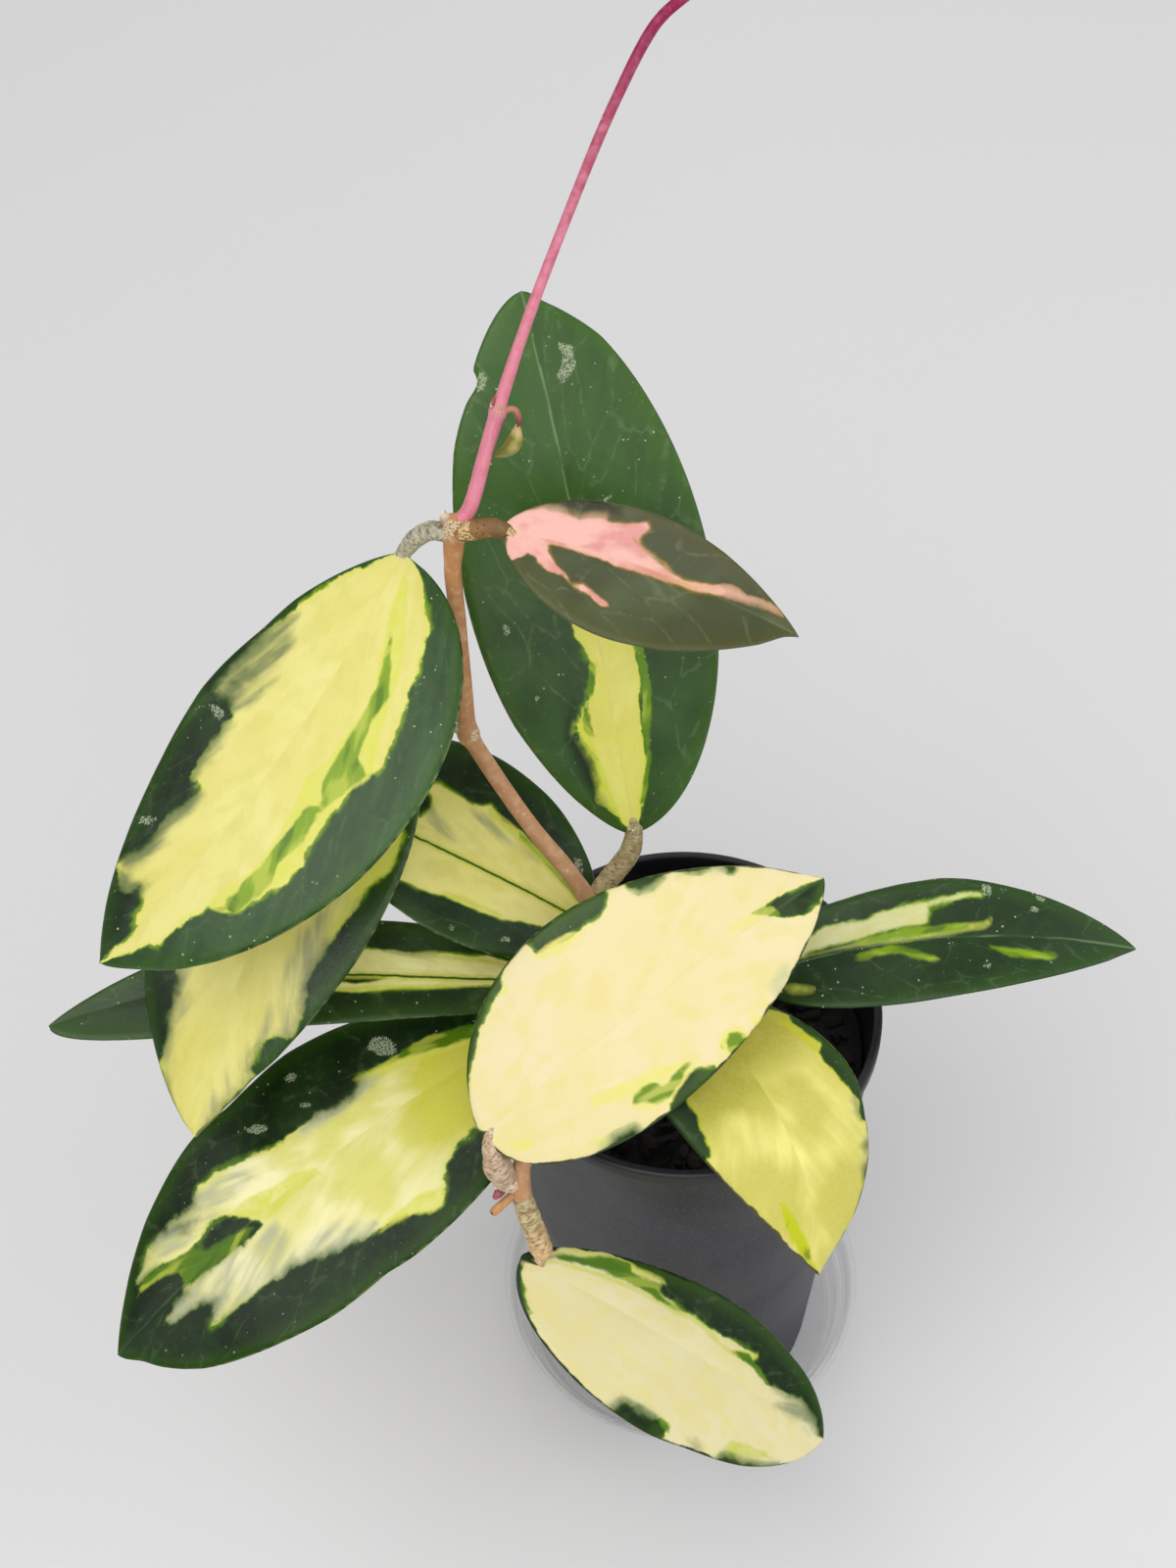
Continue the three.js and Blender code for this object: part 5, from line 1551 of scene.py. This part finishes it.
            cream=[((-.1, .40), (.10, .45), (.20, .55), (.26, .57), (.30, .65), (.34, .82), (.37, .82), (.40, .73),
                    (.50, .66), (.57, .56), (.63, .48), (.73, .51), (.815, .55), (.79, .42), (.77, .36), (.80, .26),
                    (.88, .20), (.82, .13), (.82, .05), (.70, .10), (.63, .09), (.67, -.17), (.70, -.27),
                    (.76, -.22), (.80, -.25), (.85, -.48), (.89, -.68), (.84, -.74), (.79, -.55), (.76, -.40),
                    (.735, -.42), (.78, -.62), (.72, -.50), (.695, -.62), (.64, -.55), (.56, -.45), (.53, -.38),
                    (.46, -.37), (.40, -.29), (.36, -.30), (.32, -.43), (.25, -.43), (.15, -.33), (-.1, -.30))],
            pale=[((.49, .06), (.55, .05), (.62, .08), (.64, .02), (.66, -.10), (.67, -.18), (.63, -.20),
                   (.58, -.12), (.53, -.08), (.50, .0)),
                  ((.10, -.26), (.20, -.30), (.30, -.36), (.34, -.44), (.26, -.48), (.15, -.42)),
                  ((.32, .74), (.345, .84), (.37, .84), (.40, .74), (.47, .71), (.44, .66), (.37, .66))],
            lime=[((.12, -.34), (.20, -.38), (.26, -.43), (.24, -.51), (.18, -.56), (.10, -.55)),
                  ((.64, .07), (.72, .09), (.80, .04), (.82, .0), (.815, -.15), (.84, -.28), (.88, -.42),
                   (.91, -.56), (.88, -.59), (.85, -.50), (.82, -.35), (.78, -.25), (.76, -.20), (.75, -.10),
                   (.70, -.03), (.66, .02))],
            veil=[((.46, .64), (.52, .70), (.60, .56), (.70, .48), (.80, .52), (.84, .30), (.90, .22), (.84, .05),
                   (.72, .12), (.62, .14), (.60, .35), (.52, .46)),
                  ((.30, -.36), (.36, -.28), (.42, -.26), (.48, -.34), (.42, -.42), (.33, -.46)),
                  ((.60, -.28), (.70, -.30), (.78, -.30), (.86, -.55), (.90, -.70), (.80, -.70), (.70, -.56),
                   (.60, -.45))],
            scar=[((.25, -.52), (.28, -.54), (.29, -.68), (.27, -.76), (.25, -.70)),
                  ((.44, -.48), (.455, -.49), (.455, -.55), (.445, -.54)),
                  ((.525, -.56), (.54, -.57), (.565, -.68), (.56, -.72), (.535, -.64)),
                  ((.43, -.78), (.445, -.76), (.45, -.82), (.43, -.82))],
        ),
        petiole(((-6.6, 1.5, 152.4, 2.0), (-14.6, -1.1, 156.6, 2.1), (-26.9, -5.9, 163.8, 2.0),
                 (-35.4, -11.2, 167.0, 1.6), (-37.4, -12.4, 167.0, 0.9)), 21.0),
        {"Seed": 7.0, "Dark": (24, 46, 18), "Deep": (12, 32, 8), "Cream": (247, 241, 186), "Yellow": (207, 205, 62),
         "Veil": (180, 184, 150), "Lime": (82, 120, 0), "Rim": 0.5, "Flecks": 0.5, "Rib": 0.15, "Soft": 0.45,
         "Base Yellow And Shadow Reach": 52.0, "Haze": 0.55},
        GREENISH, 0.2,
    ),
    Leaf(
        "leaf_centre", Slot.CREAM,
        Blade((-49.0, -44.4, 171.1), (32.5, -0.7, 207.7), (0.0, -0.6, 0.8), 5, 1.9, -1, 2, (28.9, 0.58, 0.84),
              (23.7, 0.48, 0.75),
              left_trim=((0, .84), (.02, .88), (.05, .98), (.1, 1), (.88, 1), (.92, .97), (.95, .88), (1, .7))),
        Splash(
            cream=[WHOLE_BLADE],
            dark=[((.03, 1.2), (.05, .93), (.10, .88), (.15, .90), (.20, .915), (.24, .90), (.27, 1.0), (.27, 1.2)),
                  ((.34, 1.2), (.345, .93), (.355, .86), (.39, .84), (.42, .79), (.47, .81), (.52, .80), (.55, .88),
                   (.57, .95), (.575, 1.2)),
                  ((.60, 1.2), (.615, .92), (.625, .85), (.66, .85), (.70, .93), (.715, 1.2)),
                  ((.735, 1.2), (.745, .93), (.77, .90), (.80, .96), (.80, 1.2)),
                  ((.805, 1.2), (.815, .92), (.83, .83), (.845, .90), (.855, 1.2)),
                  ((.82, .13), (.85, .18), (.90, .22), (.95, .26), (1.1, .50), (1.1, -1.3), (.96, -.92),
                   (.94, -.71), (.90, -.44), (.87, -.23), (.855, -.06), (.85, .05), (.82, .08)),
                  ((.37, -1.2), (.39, -.93), (.42, -.86), (.46, -.80), (.50, -.83), (.53, -.93), (.535, -1.2)),
                  ((.20, -1.2), (.21, -.93), (.25, -.87), (.30, -.90), (.31, -1.2)),
                  ((.575, -1.2), (.57, -.84), (.60, -.82), (.625, -.92), (.62, -1.2))],
            pale=[((.24, -.45), (.26, -.42), (.30, -.45), (.36, -.52), (.42, -.55), (.44, -.62), (.48, -.70),
                   (.50, -.78), (.46, -.84), (.40, -.92), (.34, -.85), (.31, -.72), (.33, -.64), (.28, -.58),
                   (.24, -.52)),
                  ((.33, .88), (.36, .78), (.40, .72), (.44, .76), (.47, .78), (.44, .84), (.37, .88)),
                  ((.22, .90), (.235, .80), (.26, .90)),
                  ((.03, -.52), (.06, -.50), (.078, -.60), (.06, -.72), (.035, -.70)),
                  ((.18, -.90), (.20, -.82), (.225, -.84), (.22, -.95)),
                  ((.74, .13), (.80, .15), (.83, .12), (.80, .07), (.74, .09)),
                  ((.56, -.80), (.60, -.76), (.63, -.84), (.64, -1.1), (.57, -1.1)),
                  ((.655, -.88), (.675, -.82), (.69, -1.1), (.66, -1.1)),
                  ((.70, -.93), (.715, -.88), (.73, -1.1), (.705, -1.1))],
            lime=[((.315, -.72), (.33, -.66), (.37, -.63), (.39, -.67), (.40, -.75), (.42, -.76), (.43, -.73),
                   (.47, -.72), (.49, -.75), (.46, -.78), (.44, -.84), (.40, -.88), (.36, -.86), (.35, -.78),
                   (.33, -.74)), ((.575, -.84), (.60, -.81), (.62, -.90), (.63, -1.2), (.58, -1.2)),
                  ((.81, .16), (.83, .16), (.86, .10), (.87, -.20), (.85, -.10), (.83, .06))],
            veil=[((.19, -.86), (.24, -.84), (.30, -.87), (.31, -1.1), (.20, -1.1)),
                  ((.74, -.84), (.80, -.84), (.79, -1.1), (.75, -1.1)), ((.80, .98), (.83, .80), (.86, .98)),
                  ((.61, .95), (.62, .86), (.66, .84), (.70, .95)), ((.73, .95), (.77, .90), (.80, .95))],
        ),
        petiole(((-42.6, -49.5, 153.7, 1.9), (-45.7, -49.5, 158.0, 2.9), (-47.2, -48.8, 162.4, 3.4),
                 (-48.4, -47.2, 166.9, 2.2), (-48.9, -45.5, 169.9, 1.35), (-47.9, -43.9, 171.5, 0.9)), 24.0, 0.30,
                0.9, ((-44.8, -50.7, 156.7, 3.2), (-48.3, -45.7, 171.9, 1.7))),
        {"Seed": 8.0, "Dark": (44, 66, 30), "Cream": (238, 223, 174), "Yellow": (235, 221, 156),
         "Pale Lime": (232, 226, 118), "Lime": (110, 146, 0), "Mid": (78, 118, 14), "Veil": (196, 200, 150),
         "Rim": 1.0, "Blush": (232, 218, 134), "Blushes": 0.5, "Flecks": 0.3, "Rib": 0.12, "Veins": 0.06,
         "Ragged": 0.7, "Fringe": 0.6, "Soft": 0.3},
        FAT_TAN, 0.3,
    ),
    Leaf(
        "leaf_right", Slot.GREEN,
        Blade((17.4, 0.7, 167.2), (113.4, 4.2, 167.5), (0.1, -0.35, 0.93), 5, 4.9, 1, 0, (15.5, 0.61, 0.80),
              (15.8, 0.52, 0.84), left_trim=((.18, 1), (.25, .95), (.35, .94), (.45, .97), (.5, 1)),
              right_trim=((.92, 1), (.95, .92), (1, .8))),
        Splash(
            cream=[((.0, .15), (.10, .45), (.15, .49), (.19, .57), (.25, .52), (.30, .50), (.34, .57), (.38, .60),
                    (.44, .61), (.47, .64), (.50, .67), (.53, .70), (.56, .75), (.59, .75), (.60, .71), (.56, .69),
                    (.52, .61), (.49, .58), (.465, .52), (.455, .35), (.455, .26), (.42, .26), (.36, .24),
                    (.30, .20), (.22, .15), (.15, .15), (.0, .05))],
            pale=[((.18, .07), (.26, .10), (.33, .13), (.40, .18), (.47, .17), (.55, .22), (.60, .26), (.63, .38),
                   (.62, .20), (.60, .12), (.50, .04), (.40, .0), (.30, .02), (.20, .08), (.10, .08)),
                  ((.07, -.56), (.10, -.50), (.15, -.60), (.14, -.70), (.09, -.74))],
            lime=[((.26, .12), (.33, .18), (.40, .26), (.47, .20), (.56, .22), (.56, .14), (.44, .08), (.36, .06),
                   (.28, .06)),
                  ((.27, -.10), (.31, -.05), (.36, -.02), (.38, -.06), (.41, -.15), (.46, -.30), (.48, -.36),
                   (.45, -.37), (.42, -.30), (.38, -.18), (.32, -.17), (.27, -.18)),
                  ((.61, -.20), (.64, -.22), (.70, -.30), (.78, -.40), (.79, -.52), (.77, -.56), (.72, -.50),
                   (.66, -.42), (.63, -.30))],
            veil=[((.22, -.20), (.30, -.10), (.30, -.17), (.25, -.24)),
                  ((.06, -.55), (.13, -.58), (.15, -.70), (.08, -.76))],
            scar=[((.74, .96), (.77, .94), (.765, .87), (.745, .88)),
                  ((.73, .68), (.75, .64), (.745, .56), (.73, .58)),
                  ((.61, .92), (.63, .90), (.625, .78), (.61, .80)),
                  ((.59, -.54), (.605, -.56), (.60, -.63), (.59, -.60)), ((.325, -.48), (.335, -.50), (.33, -.56)),
                  ((.215, .64), (.23, .62), (.23, .55)), ((.66, .92), (.67, .90), (.665, .85))],
        ),
        petiole(((-10.5, 3.9, 168.0, 2.0), (-0.7, 4.2, 167.5, 2.0), (9.0, 2.0, 167.0, 1.9), (17.5, 0.7, 167.1, 1.5),
                 (19.6, 0.7, 167.4, 0.9)), 27.0),
        {"Seed": 9.0, "Dark": (36, 62, 26), "Deep": (28, 52, 20), "Mid": (52, 92, 14), "Cream": (224, 222, 168),
         "Yellow": (212, 212, 150), "Lime": (126, 160, 10), "Pale Lime": (186, 198, 78), "Rim": 0.3, "Flecks": 0.9,
         "Rib": 0.5, "Veins": 0.12, "Ragged": 0.6, "Fringe": 0.5, "Soft": 0.55},
        GREENISH,
    ),
    Leaf(
        "leaf_lower_right", Slot.YELLOW,
        Blade((-0.6, -13.6, 176.0), (29.2, -65.3, 134.0), (0.2, -0.5, 0.84), 9, 6.3, -2, 2, (22.2, 0.63, 0.74),
              (22.9, 0.42, 0.98),
              left_trim=((.48, 1), (.55, .97), (.60, .96), (.66, .98), (.72, 1), (.88, 1), (.93, .9), (.96, .75),
                         (1, .6))),
        Splash(
            cream=[WHOLE_BLADE],
            dark=[((-.1, 1.2), (.05, .9), (.15, .93), (.19, .95), (.22, .88), (.28, .87), (.32, .90), (.335, .80),
                   (.36, .76), (.40, .79), (.45, .80), (.49, .85), (.54, .92), (.57, .88), (.60, .92), (.64, 1.2)),
                  ((.655, 1.2), (.675, .86), (.70, .95), (.71, 1.2)),
                  ((.72, 1.2), (.74, .88), (.78, .94), (.82, 1.2)), ((.88, 1.2), (.91, .89), (.93, 1.2)),
                  ((-.1, -.55), (.10, -.60), (.20, -.62), (.28, -.71), (.33, -.72), (.37, -.79), (.42, -.82),
                   (.46, -.88), (.475, -.95), (.48, -1.2), (-.1, -1.2)),
                  ((.92, -1.2), (.94, -.88), (.97, -.62), (1.1, -.50), (1.1, -1.2))],
            pale=[((.17, .85), (.22, .88), (.30, .90), (.335, .84), (.33, .76), (.25, .76), (.20, .80)),
                  ((.92, -.60), (.95, -.50), (1.0, -.30), (1.1, -.30), (1.1, -1.0), (.93, -.90))],
            veil=[((.52, .90), (.56, .84), (.60, .92)), ((.655, 1.0), (.67, .84), (.71, .92), (.71, 1.0)),
                  ((.72, 1.0), (.74, .86), (.82, .94), (.82, 1.0))],
            lime=[((.71, -.54), (.75, -.46), (.79, -.45), (.83, -.39), (.87, -.40), (.93, -.50), (.94, -.70),
                   (.92, -.85), (.89, -.90), (.85, -.80), (.79, -.71), (.75, -.63))],
        ),
        petiole(((-6.4, 1.5, 152.6, 2.0), (-5.1, 0.0, 161.4, 2.0), (-2.8, -6.2, 171.8, 1.8),
                 (-0.6, -13.4, 176.0, 1.5), (0.5, -16.0, 176.2, 0.9)), 30.0),
        # this leaf's dark olive yellow is painted shadow: it lies near the base, where the centre leaf shades it, and
        # in patches across the leaf
        {"Seed": 10.0, "Dark": (24, 46, 14), "Cream": (242, 233, 134), "Yellow": (182, 176, 60),
         "Pale Lime": (196, 196, 40), "Lime": (192, 200, 26), "Rim": 0.9, "Flecks": 0.1, "Rib": 0.05, "Ragged": 0.7,
         "Fringe": 0.3, "Soft": 0.4, "Base Yellow And Shadow Reach": 36.0},
        GREENISH, 0.22,
    ),
    Leaf(
        "leaf_bottom", Slot.CREAM,
        Blade((-39.1, -58.3, 130.7), (32.1, -80.0, 73.4), (0.1, -0.35, 0.93), 4, 0.6, -1, 5, (17.4, 0.77, 0.61),
              (22.5, 0.50, 0.57),
              left_trim=((0, 1.24), (.05, 1.2), (.12, 1.1), (.22, 1), (.35, .97), (.70, .955), (.80, .94),
                         (.92, .97), (1, .95)),
              right_trim=((.5, 1), (.56, .98), (.60, .965), (.66, .965), (.72, .98), (.8, 1))),
        Splash(
            cream=[WHOLE_BLADE],
            dark=[((.19, 1.2), (.22, .92), (.27, .84), (.34, .80), (.33, .72), (.33, .63), (.36, .55), (.42, .50),
                   (.50, .49), (.57, .46), (.66, .50), (.68, .55), (.685, .45), (.65, .38), (.62, .33), (.70, .35),
                   (.73, .28), (.75, .25), (.80, .30), (.83, .35), (.88, .45), (.95, .24), (.98, .0), (1.1, .0),
                   (1.1, 1.2)),
                  ((.36, -1.2), (.37, -.86), (.39, -.80), (.45, -.79), (.50, -.79), (.53, -.85), (.53, -.95),
                   (.52, -1.2)),
                  ((.70, -1.2), (.71, -.90), (.73, -.86), (.78, -.88), (.85, -.93), (.90, -.97), (.92, -1.2)),
                  ((-.1, -.90), (.03, -.86), (.08, -.96), (.10, -1.2), (-.1, -1.2))],
            pale=[((.01, .72), (.05, .80), (.08, .92), (.10, 1.05), (.22, 1.0), (.26, .88), (.34, .85), (.35, .78),
                   (.25, .72), (.12, .80), (.06, .72)),
                  ((.02, .60), (.10, .57), (.20, .55), (.30, .50), (.38, .46), (.47, .50), (.53, .45), (.56, .36),
                   (.60, .36), (.64, .46), (.69, .56), (.68, .40), (.60, .29), (.54, .32), (.50, .38), (.45, .42),
                   (.40, .38), (.30, .44), (.20, .46), (.10, .42), (.02, .45)),
                  ((.71, -.85), (.72, -.70), (.78, -.68), (.84, -.72), (.86, -.82), (.78, -.88))],
            lime=[((.02, .70), (.07, .78), (.12, .80), (.16, .90), (.20, .94), (.24, .90), (.25, .76), (.34, .74),
                   (.33, .64), (.36, .53), (.44, .50), (.40, .45), (.34, .48), (.28, .55), (.20, .57), (.10, .60),
                   (.03, .63)),
                  ((.60, .34), (.63, .42), (.66, .46), (.69, .39), (.73, .34), (.76, .26), (.74, .24), (.68, .32)),
                  ((.50, -.86), (.50, -.78), (.53, -.80), (.54, -.90))],
            veil=[((.35, -1.0), (.37, -.80), (.44, -.76), (.49, -.80), (.48, -1.0)),
                  ((.70, -1.0), (.72, -.84), (.90, -.92), (.90, -1.0)),
                  ((.77, .25), (.82, .10), (.80, .0), (.87, .0), (.90, .10), (.95, -.10), (1.02, .10), (.97, .60),
                   (.90, .60), (.85, .42)), ((.60, -.90), (.63, -.87), (.66, -.93), (.64, -1.0))],
        ),
        petiole(((-42.1, -49.9, 153.0, 2.0), (-41.4, -51.5, 150.1, 2.6), (-40.2, -53.4, 145.3, 2.65),
                 (-38.8, -55.1, 139.2, 2.7), (-37.9, -56.2, 134.8, 2.8), (-38.1, -57.3, 132.4, 1.6),
                 (-37.9, -58.2, 131.1, 0.8)), 33.0, 0.28, 0.95,
                ((-38.4, -58.3, 133.2, 1.9), (-42.2, -52.3, 153.4, 2.0))),
        {"Seed": 11.0, "Dark": (32, 52, 22), "Cream": (228, 219, 172), "Yellow": (222, 212, 154),
         "Pale Lime": (198, 204, 84), "Lime": (84, 126, 0), "Mid": (66, 106, 10), "Veil": (132, 142, 110),
         "Rim": 1.0, "Blush": (226, 214, 134), "Blushes": 0.5, "Flecks": 0.1, "Rib": 0.05, "Ragged": 0.8,
         "Fringe": 0.5, "Soft": 0.4},
        OLIVE_TAN, 0.2,
    ),
)

CURLED_LEAFLET = Leaf(
    "leaflet_curled", Slot.PINK,
    Blade((-35.0, 52.9, 305.4), (-40.8, 49.8, 298.6), (0.35, -0.65, 0.62), 0.9, 1.5, 0.9, 0, (1.9, 0.7, 0.8),
          (1.9, 0.7, 0.8), thickness=0.7, rows=40, top_columns=16, under_columns=10, edge_round=0.4, ripple=0.0),
    Splash(
        cream=[((-.1, 1.1), (.16, 1.1), (.30, .2), (.24, -1.1), (-.1, -1.1))],
        pale=[((.36, .2), (.50, .6), (.66, .3), (.60, -.1), (.44, -.2))],
    ),
    Limb(((-38.1, 55.2, 306.8, 0.8), (-36.6, 55.1, 307.5, 0.75), (-35.5, 54.6, 307.6, 0.7),
          (-34.9, 53.7, 306.8, 0.7), (-34.8, 53.0, 305.7, 0.65), (-35.2, 52.6, 304.8, 0.5)), sides=14, step=0.3),
    {"Seed": 12.0, "Dark": (116, 116, 44), "Deep": (88, 98, 36), "Mid": (150, 132, 66), "Cream": (206, 162, 136),
     "Yellow": (196, 150, 122), "Pale Lime": (202, 180, 100), "Soft": 0.9, "Ragged": 0.3, "Fringe": 0.0, "Rim": 0.0,
     "Flecks": 0.0, "Rib": 0.2, "Underside": (110, 50, 46)},
    LEAFLET_STALK,
)


class PottedHoya:
    """The whole plant in its pot on its saucer."""

    def __init__(self) -> None:
        """Sets out the sub-assemblies."""
        self.saucer = Saucer()
        self.pot = NurseryPot()
        self.mix = PottingMix()
        self.stems = (VINE, FRONT_STEM, NEW_SHOOT)
        self.leaves = LEAVES + (CURLED_LEAFLET,)

    def build(self) -> None:
        """Builds every piece and reports it."""
        for part in (self.saucer, self.pot, self.mix, *self.stems, *self.leaves):
            piece = part.build()
            LOG.info("%s: %d faces", piece.name, len(piece.data.polygons))


def main() -> None:
    """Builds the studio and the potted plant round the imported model."""
    logging.basicConfig(level=logging.INFO, format="%(name)s %(message)s")
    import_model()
    Studio().build()
    PottedHoya().build()


if __name__ == "__main__":
    main()
